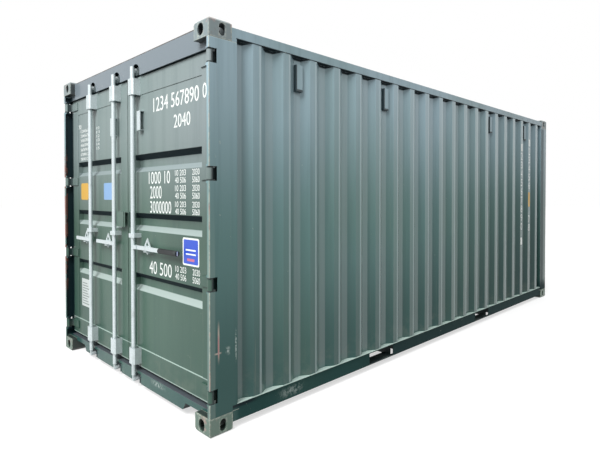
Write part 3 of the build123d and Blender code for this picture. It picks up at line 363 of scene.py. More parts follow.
def wall_paint():
    """The walls and the roof: streaked paint, painted highlights on the crests, painted shade on the slopes
    and under the top rail, and dust along the bottom.
    """
    paint = Recipe("wall_paint", coat=1.0, shine=0.12)
    base, streaks = painted(paint, *WALL_PAINTS)
    height = paint.axis("Z")
    depth = WALL_OUTER - paint.axis("Y").size()
    # Painted shadow under the top rail, reaching lower where the sheet lies further in, and kept off the
    # roof.
    shade = paint.ramp(height + depth * 0.6, WALL_TOP - 0.004, WALL_TOP + 0.003)
    shade = shade * paint.ramp(depth, 0.045, 0.040) * paint.ramp(height, WALL_TOP + 0.006, WALL_TOP + 0.004)
    far = paint.ramp(paint.axis("X"), -2.0, 2.0)
    flank = paint.ramp(depth, 0.048, 0.044) * paint.ramp(height, WALL_TOP + 0.004, WALL_TOP + 0.002)
    # Painted highlights on the crests, their bends and the near valleys, and painted shade on the slopes, by
    # the place along each wave.
    phase = (paint.axis("X") - WALL_START) % WAVE_PITCH
    crest_start, crest_end = WAVE_INNER + WAVE_SLOPE, WAVE_PITCH - WAVE_SLOPE
    valley = paint.band(phase, WAVE_INNER / 2, 0.040, 0.028)
    slope = paint.band(phase, WAVE_INNER + WAVE_SLOPE / 2, 0.040, 0.026)
    crest = paint.band(phase, (crest_start + crest_end) / 2, 0.042, 0.032)
    bend = paint.band(phase, crest_end - 0.006, 0.015, 0.005)
    crest = crest * far * (0.14 + paint.ramp(height, 0.8, 2.2) * 0.24)
    lit = flank * (valley * 0.12 * (1.0 - far) + crest + bend * 0.28)
    base = paint.cover(base, lit.clamped(), CREST_HIGHLIGHT)
    shaded = 0.10 + far * (0.12 + paint.ramp(height, 2.2, 0.6) * 0.2)
    base = paint.cover(base, flank * slope * shaded, RAIL_SHADE)
    base = paint.cover(base, shade * 0.97, SHADE)
    dust = paint.ramp(height, 0.42, 0.16) * paint.ramp(paint.noise(9.0, 4.0, 0.65), 0.42, 0.68)
    base = paint.cover(base, dust * 0.12, DUST)
    chips = paint.ramp(paint.noise(34.0, 4.0, 0.7), 0.72, 0.76)
    base = paint.cover(base, chips * 0.5, WORN_PAINT)
    paint.colour(base)
    paint.coat((1.0 - shade - far * 0.45).clamped())
    paint.roughness(0.34 + streaks * 0.16 + chips * 0.2)
    paint.bump(paint.noise(120.0, 2.0) * 0.3 + paint.noise(3.2, 2.0) * 2.0, 0.35, 0.006)
    return paint.material


def frame_paint():
    """Posts, rails, header and sill: worn edges, rusty scrapes and scuffs, painted highlights on the post
    fronts and the rail's ledge, and painted shade on the rail and in recesses, channels and pockets.
    """
    paint = Recipe("frame_paint", coat=0.5, shine=0.15)
    base, streaks = painted(paint, *WALL_PAINTS)
    end, side, level = paint.insets()
    height, along = paint.axis("Z"), paint.axis("X")
    in_front, past_posts = paint.ramp(along, -2.80, -2.84), paint.ramp(end, 0.21, 0.22)
    off_castings = paint.ramp(level, 0.12, 0.14)
    header = paint.ramp(height, 2.38, 2.42) * paint.ramp(along, -2.96, -2.972) * paint.ramp(side, 0.008, 0.03)
    base = paint.cover(base, header, HEADER_PAINT)
    # Painted highlight on the door posts' front faces and outer corners, stronger low down.
    front = paint.ramp(along - POST_FACE, 0.003, 0.001) * paint.ramp(height, 2.0, 0.9)
    corner = paint.ramp(end, 0.050, 0.035) * paint.ramp(side, 0.012, 0.006) * paint.ramp(height, 1.6, 0.9)
    base = paint.cover(base, (front * 0.4 + corner * 0.3).clamped(), FRONT_HIGHLIGHT)
    # Painted shade on the bottom rail's face, a dark reflection, lighter near the door end.
    rail = paint.ramp(height, 0.30, 0.155) * paint.ramp(along, -2.84, -2.78)
    base = paint.cover(base, rail * (0.45 + paint.ramp(along, -1.7, -0.9) * 0.5), RAIL_SHADE)
    # Painted shade under the top rail, and a painted shade band on the closed-end posts where a recess would
    # show.
    under = paint.band(height, WALL_TOP, 0.004, 0.002) * past_posts
    recess_shade = paint.band(along, RECESS_SHADE_MIDDLE, 0.062, 0.045) * paint.ramp(side, 0.02, 0.01) * 0.6
    base = paint.cover(base, (under + recess_shade * off_castings).clamped() * 0.95, SHADE)
    # Painted shade on the door posts' inner sides, between the castings.
    channel = paint.ramp(side, 0.002, 0.005) * paint.ramp(end, 0.007, 0.010) * paint.ramp(along, -2.6, -2.7)
    channel = channel * paint.ramp(side, 0.095, 0.085) * off_castings
    base = paint.cover(base, channel * 0.96, SHADE)
    # Painted shade in the header's pockets and the gap above the sill, with a lighter painted shade on the
    # sill's tread.
    pocket = paint.ramp(along, HEADER_FACE + 0.002, HEADER_FACE + 0.010) * in_front
    tread = paint.band(height, SILL_TOP, 0.003, 0.001) * paint.ramp(side, 0.05, 0.06)
    pocket = pocket * paint.ramp(side, 0.10, 0.11) * (1.0 - tread)
    pocket = pocket * paint.ramp(height, HEIGHT - 0.02, HEIGHT - 0.024)
    base = paint.cover(base, pocket * 0.96, SHADE)
    base = paint.cover(base, tread * in_front * 0.9, TREAD_SHADE)
    grain = paint.noise(30.0, 5.0, 0.65)
    edge = paint.near_edge((end, side, level), 0.009)
    base = paint.cover(base, edge * (0.35 + paint.ramp(grain, 0.4, 0.6) * 0.6), WORN_PAINT)
    rusty = edge * paint.ramp(paint.noise(5.0, 5.0, 0.7), 0.52, 0.62)
    base = paint.cover(base, rusty * 0.8, RUST_PALE)
    header_edge = paint.strip(*HEADER_EDGE)
    base = paint.cover(base, header_edge * paint.ramp(grain, 0.3, 0.5), EDGE_BROWN)
    red_edge = paint.strip(*RED_EDGE)
    base = paint.cover(base, red_edge * paint.ramp(paint.noise(8.0, 4.0, 0.6), 0.4, 0.5), EDGE_RED)
    scrape = (paint.strip(*SCRAPE_UPRIGHT) + paint.strip(*SCRAPE_LEVEL)).clamped()
    core = paint.strip(*SCRAPE_CORE)
    base = paint.cover(base, scrape * 0.85, SCRAPE_PALE)
    base = paint.cover(base, core * 0.8, SCRAPE_PINK)
    scuff = paint.strip(*POST_SCUFF) + paint.strip(*POST_BACK_SCUFF)
    scuff = scuff + paint.strip(*RAIL_SCUFF) * 0.8 + paint.strip(*SILL_SCUFF) * 0.8
    scuff = scuff * paint.ramp(paint.noise(46.0, 5.0, 0.7), 0.42, 0.6)
    base = paint.cover(base, scuff.clamped(), SCUFF_PALE)
    seam = paint.band(level, CASTING_HEIGHT, 0.0035, 0.001) * paint.ramp(end, 0.24, 0.23)
    seam = seam * paint.ramp(side, 0.165, 0.160)
    base = paint.cover(base, seam * 0.6, WORN_PAINT)
    # Painted highlight on the bottom rail's top ledge.
    ledge = paint.band(height, WALL_BOTTOM, 0.004, 0.002) * past_posts
    base = paint.cover(base, ledge * 0.9, LEDGE_HIGHLIGHT)
    chips = paint.ramp(paint.noise(26.0, 4.0, 0.7), 0.69, 0.74)
    base = paint.cover(base, chips * 0.6, WORN_PAINT)
    paint.colour(base)
    paint.coat((0.5 - rail * 0.5 - channel - pocket - recess_shade).clamped())
    paint.roughness((0.36 + streaks * 0.14 + edge * 0.2 + rail * 0.3).clamped())
    paint.bump(paint.noise(120.0, 2.0) * 0.4 - edge * 0.8 - seam, 0.3, 0.003)
    return paint.material


def door_paint(name):
    """The doors and what is welded to them: paler paint, painted shade and highlights on the groove slopes
    and edges, chips and rusty dots.
    """
    paint = Recipe(name, coat=0.15, shine=0.25)
    base, streaks = painted(paint, *DOOR_PAINTS, 2.1)
    height, inset = paint.axis("Z"), paint.axis("X") - PANEL_FACE
    across = paint.axis("Y").size()
    pressed = paint.ramp(inset, 0.001, 0.004) * paint.ramp(inset, 0.048, 0.044)
    pressed = pressed * paint.ramp(across, 1.05, 1.04)
    shades = None
    # Painted shade on each groove's upper slope and painted highlight on its lower slope.
    pale = paint.blend(paint.ramp(height, 0.9, 1.8), tint(SLOPE_LOW_HIGHLIGHT), tint(SLOPE_TOP_HIGHLIGHT))
    slope_shift = GROOVE_HALF - GROOVE_SLOPE / 2
    for centre in GROOVES:
        dark = paint.band(height, centre + slope_shift, 0.026, 0.019) * pressed
        base = paint.cover(base, dark * 0.98, SHADE)
        shades = dark if shades is None else shades + dark
        light = paint.band(height, centre - slope_shift, 0.022, 0.016) * pressed
        base = paint.blend(light * 0.8, base, pale)
    # Painted highlights along the panel's bottom edge and the leaf's bottom edge.
    lip = paint.band(height, PANEL_BOTTOM, 0.0045, 0.002) * paint.ramp(inset, 0.006, 0.004)
    hem = paint.ramp(height, LEAF_BOTTOM + 0.009, LEAF_BOTTOM + 0.006) * paint.ramp(inset, 0.06, 0.05)
    base = paint.cover(base, (lip * 0.7 + hem * 0.6).clamped(), LEDGE_HIGHLIGHT)
    # Painted shade on the hinge knuckles' outer halves.
    knuckle = paint.ramp(inset, -0.058, -0.050) * paint.ramp(across, 1.160, 1.168)
    base = paint.cover(base, knuckle * 0.8, SHADE)
    chips = paint.ramp(paint.noise(30.0, 5.0, 0.7), 0.68, 0.74)
    base = paint.cover(base, chips * 0.5, WORN_PAINT)
    dots = paint.ramp(paint.noise(17.0, 6.0, 0.75), 0.70, 0.74)
    base = paint.cover(base, dots * 0.6, RUST_PALE)
    low_dirt = paint.ramp(height, 0.40, 0.15) * paint.ramp(paint.noise(12.0, 4.0), 0.4, 0.65)
    base = paint.cover(base, low_dirt * 0.12, DUST)
    paint.colour(base)
    paint.roughness((0.33 + streaks * 0.14 + chips * 0.2 + shades * 0.5).clamped())
    paint.coat(0.15 - shades.clamped() * 0.15)
    paint.bump(paint.noise(130.0, 2.0) * 0.4 + paint.noise(4.0, 2.0) * 1.2, 0.3, 0.004)
    return paint.material


def vent_paint():
    """The vent covers: wall paint with the slot on one side and below in shadow."""
    paint = Recipe("vent_paint", roughness=0.45)
    base, streaks = painted(paint, *WALL_PAINTS)
    phase = (paint.axis("X") - WALL_START - WAVE_INNER / 2 + WAVE_PITCH / 2) % WAVE_PITCH
    dark = paint.ramp(phase - WAVE_PITCH / 2, -0.022, -0.027)
    dark = dark.most(paint.ramp(paint.axis("Z"), VENT_BOTTOM + 0.018, VENT_BOTTOM + 0.013))
    paint.colour(paint.cover(base, dark * 0.92, SHADE))
    paint.roughness(0.42 + streaks * 0.1)
    paint.bump(paint.noise(120.0, 2.0), 0.2, 0.003)
    return paint.material


def casting_paint():
    """Paint on cast steel: scraped pale and pink at the edges and slots, with painted shade inside and below.
    """
    paint = Recipe("casting_paint", roughness=0.5)
    height = paint.axis("Z")
    base = paint.blend(paint.ramp(height, 0.2, 2.4), tint(CASTING_LOW_PAINT), tint(CASTING_TOP_PAINT))
    end, side, level = paint.insets()
    box = (end.least(CASTING_LENGTH - end), side.least(CASTING_WIDTH - side),
           level.least(CASTING_HEIGHT - level))
    grain = paint.noise(42.0, 5.0, 0.65)
    edge = paint.near_edge(box, 0.013) * (0.1 + paint.ramp(grain, 0.42, 0.60) * 0.65)
    tall = (level - CASTING_HEIGHT / 2).size()
    side_slot = (end - LOCK_INSET_X).size().most(tall - 0.014)
    end_slot = (side - LOCK_INSET_Y).size().most(tall - 0.008)
    rim = paint.ramp(side_slot, 0.034, 0.027) * paint.ramp(side, 0.004, 0.001)
    rim = rim + paint.ramp(end_slot, 0.040, 0.033) * paint.ramp(end, 0.004, 0.001)
    base = paint.cover(base, (edge + rim * 0.4 * paint.ramp(grain, 0.4, 0.6)).clamped(), WORN_PAINT)
    patches = paint.ramp(paint.noise(9.0, 5.0, 0.7), 0.54, 0.66)
    base = paint.cover(base, patches * 0.55, RUST_PALE)
    rusty = paint.ramp(paint.noise(31.0, 5.0, 0.75), 0.58, 0.68) * (edge + 0.25)
    base = paint.cover(base, rusty.clamped() * 0.8, RUST)
    # Painted shade inside the castings' holes and under the top castings.
    inside = paint.ramp(end, 0.004, 0.012) * paint.ramp(side, 0.004, 0.012) * paint.ramp(level, 0.004, 0.012)
    under = paint.band(height, HEIGHT - CASTING_HEIGHT, 0.003, 0.001)
    base = paint.cover(base, (inside * 0.85).most(under * 0.9), CASTING_SHADE)
    paint.colour(base)
    paint.roughness(0.45 + edge * 0.2 + rusty.clamped() * 0.2)
    paint.bump(grain + paint.noise(150.0) * 0.4, 0.35, 0.003)
    return paint.material


def zinc(name, pale, dull):
    """Galvanised steel with a faint spangle, a little grime and rusty dots."""
    metal = Recipe(name, metallic=0.35, roughness=0.36)
    spangle = metal.add("ShaderNodeTexVoronoi", {"feature": "F1"},
                        {"Vector": metal.place, "Scale": 150.0}, "Color")
    value = metal.add("ShaderNodeSeparateColor", {}, {"Color": spangle}, "Red")
    grime = metal.ramp(metal.noise(7.0, 4.0, 0.6), 0.5, 0.75)
    base = metal.blend(value * 0.3, tint(pale), tint(dull))
    base = metal.cover(base, grime * 0.35, ZINC_GRIME)
    rusty = metal.ramp(metal.noise(30.0, 5.0, 0.7), 0.68, 0.76)
    metal.colour(metal.cover(base, rusty * 0.5, RUST_PALE))
    metal.roughness(0.30 + value * 0.12 + grime * 0.2)
    metal.bump(metal.noise(260.0, 2.0), 0.1, 0.001)
    return metal.material


def rubber(name):
    """Black rubber, dusty on top of a fine grain."""
    rub = Recipe(name, roughness=0.7)
    dust = rub.ramp(rub.noise(9.0, 4.0), 0.45, 0.75)
    rub.colour(rub.blend(dust * 0.35, tint(RUBBER), tint(RUBBER_DUST)))
    rub.roughness(0.62 + dust * 0.2)
    rub.bump(rub.noise(420.0), 0.2, 0.0008)
    return rub.material


def underframe():
    """Dark paint under the floor, dusty and rough."""
    paint = Recipe("underframe", roughness=0.6)
    dirt = paint.ramp(paint.noise(5.0, 5.0, 0.6), 0.4, 0.7)
    base = paint.blend(dirt, tint(UNDERSIDE), tint(UNDERSIDE_DIRT))
    rusty = paint.ramp(paint.noise(18.0, 5.0, 0.7), 0.62, 0.72)
    paint.colour(paint.cover(base, rusty * 0.6, UNDERSIDE_RUST))
    paint.roughness(0.5 + dirt * 0.25)
    paint.bump(paint.noise(90.0, 3.0), 0.25, 0.003)
    return paint.material


def plywood():
    """Sealed plywood floor: long grain along the container, scuffed by cargo."""
    wood = Recipe("plywood", roughness=0.55)
    grain = wood.noise(6.0, 6.0, 0.6, (0.35, 9.0, 9.0))
    scuffs = wood.ramp(wood.noise(3.0, 5.0, 0.65), 0.45, 0.7)
    base = wood.blend(grain, tint(PLYWOOD_DARK), tint(PLYWOOD))
    wood.colour(wood.cover(base, scuffs * 0.5, PLYWOOD_SCUFF))
    wood.roughness(0.5 + scuffs * 0.2)
    wood.bump(grain, 0.25, 0.002)
    return wood.material


def plain_finish(name, code, roughness=0.5):
    """A printed or sprayed mark, slightly uneven."""
    ink = Recipe(name, roughness=roughness)
    worn = ink.ramp(ink.noise(45.0, 5.0, 0.7), 0.60, 0.75)
    ink.colour(ink.blend(worn * 0.6, tint(code), tint(DOOR_PAINTS[0])))
    ink.roughness(roughness + worn * 0.1)
    ink.bump(worn, 0.1, 0.001)
    return ink.material


MATERIALS = {
    "wall_paint": wall_paint(),
    "body_paint": frame_paint(),
    "door_paint": door_paint("door_paint"),
    "fitting_paint": door_paint("fitting_paint"),
    "casting_steel": casting_paint(),
    "vent_plastic": vent_paint(),
    "galvanised_steel": zinc("zinc", ZINC, ZINC_DARK),
    "keepers": zinc("keeper_zinc", KEEPER_SHADED_PALE, KEEPER_SHADED_DULL),
    "gasket_rubber": rubber("gasket_rubber"),
    "grip_rubber": rubber("grip_rubber"),
    "underframe_paint": underframe(),
    "floor_plywood": plywood(),
    "white": plain_finish("white_marking", MARK_WHITE),
    "blue": plain_finish("blue_label", LABEL_BLUE, 0.35),
    "red": plain_finish("red_print", LABEL_RED, 0.35),
    "pale_blue": plain_finish("pale_blue_patch", PATCH_BLUE, 0.35),
    "yellow": plain_finish("yellow_patch", PATCH_YELLOW, 0.35),
    "plate": plain_finish("pale_plate", PLATE_PALE, 0.3),
    "engraving": plain_finish("plate_engraving", ENGRAVING, 0.5),
}


def dress_nodes():
    """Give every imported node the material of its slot."""
    slots = {row["node"]: row["material_slot"] for row in frame["record"]["subparts"]}
    for name, node in NODES.items():
        slot = slots[name]
        if slot == "body_paint" and name in frame_nodes("door_right") + frame_nodes("door_left"):
            slot = "door_paint"
        if "_wall" in name or name == "roof":
            slot = "wall_paint"
        # The rod keepers get the darker zinc, as painted shade.
        if name == "rod_keepers":
            slot = "keepers"
        node.data.materials.clear()
        node.data.materials.append(MATERIALS[slot])


def frame_nodes(body):
    """The names of the nodes that ride on a body."""
    return frame["record"]["behaviour"]["bodies"][body]


def put(name, data):
    """A new object in the scene that holds some data."""
    thing = bpy.data.objects.new(name, data)
    bpy.context.scene.collection.objects.link(thing)
    return thing


def plain_mesh(name, points, faces, edges=()):
    """A mesh made from lists of points, faces and lines."""
    mesh = bpy.data.meshes.new(name)
    mesh.from_pydata(points, list(edges), faces)
    mesh.update()
    return mesh


def baked(holder):
    """The plain mesh that an object shows as, and the object itself removed."""
    shown = holder.evaluated_get(bpy.context.evaluated_depsgraph_get())
    mesh = bpy.data.meshes.new_from_object(shown)
    bpy.data.objects.remove(holder)
    return mesh


def add_piece(name, mesh, material, body):
    """Put a finished mesh in the scene, on a body, with its material and slot."""
    mesh.materials.clear()
    mesh.materials.append(material)
    piece = put(name, mesh)
    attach(piece, body)


# Planes that marks lie on: where a mark's own across, up and outward directions point
DOOR_PLANE = Matrix(((0, 0, -1), (-1, 0, 0), (0, 1, 0)))
RIGHT_PLANE = Matrix(((1, 0, 0), (0, 0, -1), (0, 1, 0)))
LEFT_PLANE = Matrix(((-1, 0, 0), (0, 0, 1), (0, 1, 0)))


class Marks:
    """All the marks of one colour on one body, gathered into one mesh. Their boxes are left, right,
    bottom and top on a plane."""

    def __init__(self, name, body, colour):
        self.name, self.body, self.colour = name, body, colour
        self.points, self.faces = [], []

    def take(self, points, faces, plane, origin):
        """Add faces given on a plane, lifted to their place."""
        start = len(self.points)
        self.points += [tuple(plane @ Vector(point) + Vector(origin)) for point in points]
        self.faces += [[start + index for index in face] for face in faces]

    def digits(self, text, plane, origin, box):
        """Write digits that fill a box on a plane."""
        curve = bpy.data.curves.new("digits", "FONT")
        curve.body = text
        curve.resolution_u = 3
        shape = baked(put("digits", curve))
        xs = [vertex.co.x for vertex in shape.vertices]
        ys = [vertex.co.y for vertex in shape.vertices]
        left, right, bottom, top = box
        wide = (right - left) / (max(xs) - min(xs))
        tall = (top - bottom) / (max(ys) - min(ys))
        points = [(left + (x - min(xs)) * wide, bottom + (y - min(ys)) * tall, PAINT_THICK)
                  for x, y in zip(xs, ys)]
        faces = [list(face.vertices) for face in shape.polygons]
        self.take(points, faces, plane, origin)
        bpy.data.meshes.remove(shape)

    def plate(self, plane, origin, box, corner, thick, low=0.0):
        """A thin plate with round corners that fills a box on a plane."""
        left, right, bottom, top = box
        ring = []
        for index, (x, y) in enumerate(((right, top), (left, top), (left, bottom), (right, bottom))):
            middle = (x - corner if x == right else x + corner, y - corner if y == top else y + corner)
            for step in range(5):
                turn = math.radians(90 * index + 22.5 * step)
                ring.append((middle[0] + corner * math.cos(turn), middle[1] + corner * math.sin(turn)))
        count = len(ring)
        points = [(x, y, low) for x, y in ring] + [(x, y, thick) for x, y in ring]
        faces = [list(range(count, 2 * count))]
        for index in range(count):
            after = (index + 1) % count
            faces.append([index, after, count + after, count + index])
        self.take(points, faces, plane, origin)

    def finish(self):
        """Make the mesh and put it on its body."""
        mesh = plain_mesh(self.name, self.points, self.faces)
        add_piece(self.name, mesh, MATERIALS[self.colour], self.body)


def right_door_marks():
    """Plain numbers and a blue label on the right door."""
    panel, stile = (PANEL_FACE, 0, 0), (LEAF_FACE, 0, 0)
    white = Marks("right_door_numbers", "door_right", "white")
    white.digits("1234 567890", DOOR_PLANE, panel, (0.409, 1.005, 2.119, 2.223))
    white.digits("0", DOOR_PLANE, stile, (1.052, 1.098, 2.125, 2.223))
    white.digits("2040", DOOR_PLANE, panel, (0.694, 0.903, 1.972, 2.065))
    rows = (("1000 10", 0.335, 0.640, 1.587, 1.678), ("2000", 0.354, 0.523, 1.478, 1.572),
            ("3000000", 0.353, 0.655, 1.370, 1.460), ("40 500", 0.338, 0.659, 0.915, 1.011))
    for text, left, right, low, high in rows:
        white.digits(text, DOOR_PLANE, panel, (left, right, low, high))
        middle = (low + high) / 2
        for number, below, above in (("10 203", middle + 0.005, high), ("40 506", low, middle - 0.005)):
            white.digits(number, DOOR_PLANE, panel, (0.707, 0.845, below, above))
            white.digits(number[3:] + "0", DOOR_PLANE, panel, (0.923, 1.009, below, above))
    white.plate(DOOR_PLANE, panel, (0.803, 1.001, 1.027, 1.215), 0.014, LABEL_FRAME)
    for low in (1.128, 1.100):
        white.plate(DOOR_PLANE, panel, (0.842, 0.962, low, low + 0.010), 0.002, LABEL_PRINT, LABEL_FACE)
    white.finish()
    blue = Marks("right_door_label", "door_right", "blue")
    blue.plate(DOOR_PLANE, panel, (0.815, 0.989, 1.039, 1.203), 0.010, LABEL_FACE, LABEL_FRAME)
    blue.finish()
    red = Marks("right_door_label_line", "door_right", "red")
    red.plate(DOOR_PLANE, panel, (0.858, 0.946, 1.058, 1.076), 0.003, LABEL_PRINT, LABEL_FACE)
    red.finish()


def left_door_marks():
    """Small numbers, two plain patches and a riveted plate on the left door."""
    panel = (PANEL_FACE, 0, 0)
    white = Marks("left_door_numbers", "door_left", "white")
    white.digits("70", DOOR_PLANE, panel, (-1.040, -0.975, 2.135, 2.175))
    for row in range(7):
        top = 2.125 - 0.044 * row
        number = "1234567890"[row:] + "12345"[:row]
        white.digits(number, DOOR_PLANE, panel, (-0.990, -0.720, top - 0.026, top))
    for row in range(6):
        top = 2.120 - 0.036 * row
        white.digits(str(10 + row), DOOR_PLANE, panel, (-0.620, -0.560, top - 0.024, top))
    white.finish()
    yellow = Marks("left_door_yellow_patch", "door_left", "yellow")
    yellow.plate(DOOR_PLANE, panel, (-0.985, -0.815, 1.462, 1.618), 0.020, PATCH_THICK)
    yellow.finish()
    pale = Marks("left_door_pale_patch", "door_left", "pale_blue")
    pale.plate(DOOR_PLANE, panel, (-0.471, -0.299, 1.465, 1.611), 0.012, PATCH_THICK)
    pale.finish()
    plate = Marks("left_door_plate", "door_left", "plate")
    plate.plate(DOOR_PLANE, panel, PLATE_BOX, PLATE_CORNER, PLATE_THICK)
    plate.finish()
    lines = Marks("left_door_plate_lines", "door_left", "engraving")
    for row in range(9):
        low = 0.475 + 0.024 * row
        box = (-0.962, -0.812 - 0.02 * (row % 3), low, low + 0.009)
        lines.plate(DOOR_PLANE, panel, box, 0.002, ENGRAVING_RISE, PLATE_THICK)
    lines.finish()


def wall_marks():
    """Upright rows of digits and a yellow patch near the closed end, on both sides."""
    white = Marks("wall_numbers", "container", "white")
    yellow = Marks("wall_yellow_patch", "container", "yellow")
    crest = WALL_START + (WAVE_PITCH + WAVE_INNER) / 2
    columns = ((17, "1234567890", 2.19), (17, "1", 0.93), (18, "123456", 2.27), (18, "78", 1.22))
    for plane, side in ((RIGHT_PLANE, -1), (LEFT_PLANE, 1)):
        origin = (0, side * WALL_OUTER, 0)
        for wave, text, top in columns:
            middle = -side * (crest + wave * WAVE_PITCH)
            for row, digit in enumerate(text):
                high = top - DIGIT_STEP * row
                box = (middle - DIGIT_HALF, middle + DIGIT_HALF, high - DIGIT_HEIGHT, high)
                white.digits(digit, plane, origin, box)
        middle = -side * (crest + 18 * WAVE_PITCH)
        yellow.plate(plane, origin, (middle - 0.032, middle + 0.032, 1.34, 1.54), 0.008, PATCH_THICK)
    white.finish()
    yellow.finish()


def pocket_arches():
    """Thin plates that round the upper corners of the header's pockets into arches."""
    points, faces = [], []
    for y in RODS["door_right"] + RODS["door_left"]:
        for step in range(ARCH_STEPS):
            start = len(points)
            for turn in (math.pi * step / ARCH_STEPS, math.pi * (step + 1) / ARCH_STEPS):
                across, rise = POCKET_HALF * math.cos(turn), POCKET_HALF * math.sin(turn)
                for x in (HEADER_FACE, HEADER_FACE + ARCH_THICK):
                    points.append((x, y + across, POCKET_TOP - POCKET_HALF + rise))
                    points.append((x, y + across, POCKET_TOP))
            front, back, under, above = (0, 4, 5, 1), (2, 3, 7, 6), (0, 2, 6, 4), (1, 5, 7, 3)
            faces += [[start + index for index in face] for face in (front, back, under, above)]
    mesh = plain_mesh("pocket_arches", points, faces)
    add_piece("pocket_arches", mesh, MATERIALS["body_paint"], "container")


def hinge_washers():
    """Dark washers on the hinge pins, which fill the room above and below each knuckle."""
    above = KNUCKLE_HALF + WASHER_GAP
    points, faces = [], []
    for y in (-PIN_Y, PIN_Y):
        for low in [height + shift for height in HINGE_HEIGHTS for shift in (above, -above - WASHER_THICK)]:
            start = len(points)
            for step in range(WASHER_FLATS):
                turn = 2 * math.pi * step / WASHER_FLATS
                place = (PIN_X + WASHER_RADIUS * math.cos(turn), y + WASHER_RADIUS * math.sin(turn))
                points += [(*place, low), (*place, low + WASHER_THICK)]
                corner, following = start + 2 * step, start + 2 * ((step + 1) % WASHER_FLATS)
                faces.append([corner, following, following + 1, corner + 1])
            faces.append([start + 2 * step + 1 for step in range(WASHER_FLATS)])
            faces.append([start + 2 * step for step in reversed(range(WASHER_FLATS))])
    mesh = plain_mesh("hinge_washers", points, faces)
    add_piece("hinge_washers", mesh, MATERIALS["underframe_paint"], "container")


def new_tree(name, inputs):
    """A Geometry Nodes tree with named inputs, the node that gives them and the node for its result."""
    tree = bpy.data.node_groups.new(name, "GeometryNodeTree")
    tree.interface.new_socket("Geometry", in_out="INPUT", socket_type="NodeSocketGeometry")
    tree.interface.new_socket("Geometry", in_out="OUTPUT", socket_type="NodeSocketGeometry")
    for label, kind in inputs:
        tree.interface.new_socket(label, in_out="INPUT", socket_type=kind)
    return tree, tree.nodes.new("NodeGroupInput"), tree.nodes.new("NodeGroupOutput")


def chain(tree, kind, links, values=None, **settings):
    """Add a node to a tree, set it, and link or fill its sockets."""
    node = tree.nodes.new(kind)
    for key, value in settings.items():
        setattr(node, key, value)
    for key, value in (values or {}).items():
        node.inputs[key].default_value = value
    for key, socket in links.items():
        tree.links.new(socket, node.inputs[key])
    return node


def rivet_tree():
    """A low round rivet head at each point, facing outwards from the doors."""
    inputs = (("Radius", "NodeSocketFloat"), ("Height", "NodeSocketFloat"),
              ("Material", "NodeSocketMaterial"))
    tree, given, result = new_tree("rivets", inputs)
    slim = chain(tree, "ShaderNodeMath", {0: given.outputs["Radius"]}, {1: RIVET_TAPER}, operation="MULTIPLY")
    head = chain(tree, "GeometryNodeMeshCone", {"Radius Bottom": given.outputs["Radius"],
                 "Radius Top": slim.outputs[0], "Depth": given.outputs["Height"]}, {"Vertices": RIVET_FLATS})
    spread = chain(tree, "GeometryNodeInstanceOnPoints", {"Points": given.outputs["Geometry"],
                   "Instance": head.outputs["Mesh"]}, {"Rotation": (0.0, -math.pi / 2, 0.0)})
    solid = chain(tree, "GeometryNodeRealizeInstances", {"Geometry": spread.outputs["Instances"]})
    dressed = chain(tree, "GeometryNodeSetMaterial", {"Geometry": solid.outputs["Geometry"],
                    "Material": given.outputs["Material"]})
    tree.links.new(dressed.outputs["Geometry"], result.inputs["Geometry"])
    return tree


def bead_tree():
    """A slightly uneven weld bead along each line."""
    inputs = (("Radius", "NodeSocketFloat"), ("Step", "NodeSocketFloat"), ("Seed", "NodeSocketInt"),
              ("Material", "NodeSocketMaterial"))
    tree, given, result = new_tree("weld_beads", inputs)
    line = chain(tree, "GeometryNodeMeshToCurve", {"Mesh": given.outputs["Geometry"]})
    even = chain(tree, "GeometryNodeResampleCurve", {"Curve": line.outputs["Curve"],
                 "Length": given.outputs["Step"]}, mode="LENGTH")
    uneven = chain(tree, "FunctionNodeRandomValue", {"Seed": given.outputs["Seed"]},
                   {"Min": (-BEAD_WOBBLE,) * 3, "Max": (BEAD_WOBBLE,) * 3}, data_type="FLOAT_VECTOR")
    moved = chain(tree, "GeometryNodeSetPosition", {"Geometry": even.outputs["Curve"],
                  "Offset": uneven.outputs["Value"]})
    ring = chain(tree, "GeometryNodeCurvePrimitiveCircle", {"Radius": given.outputs["Radius"]},
                 {"Resolution": BEAD_FLATS})
    tube = chain(tree, "GeometryNodeCurveToMesh", {"Curve": moved.outputs["Geometry"],
                 "Profile Curve": ring.outputs["Curve"]}, {"Fill Caps": True})
    solid = chain(tree, "GeometryNodeRealizeInstances", {"Geometry": tube.outputs["Mesh"]})
    dressed = chain(tree, "GeometryNodeSetMaterial", {"Geometry": solid.outputs["Geometry"],
                    "Material": given.outputs["Material"]})
    tree.links.new(dressed.outputs["Geometry"], result.inputs["Geometry"])
    return tree


def grow(name, tree, points, edges, values, body):
    """Run a tree on points and lines, keep the plain mesh, and put it on a body."""
    holder = put(name + "_lines", plain_mesh(name + "_lines", points, [], edges))
    modifier = holder.modifiers.new("tree", "NODES")
    modifier.node_group = tree
    for item in tree.interface.items_tree:
        if item.in_out == "INPUT" and item.name in values:
            modifier[item.identifier] = values[item.name]
    add_piece(name, baked(holder), values["Material"], body)


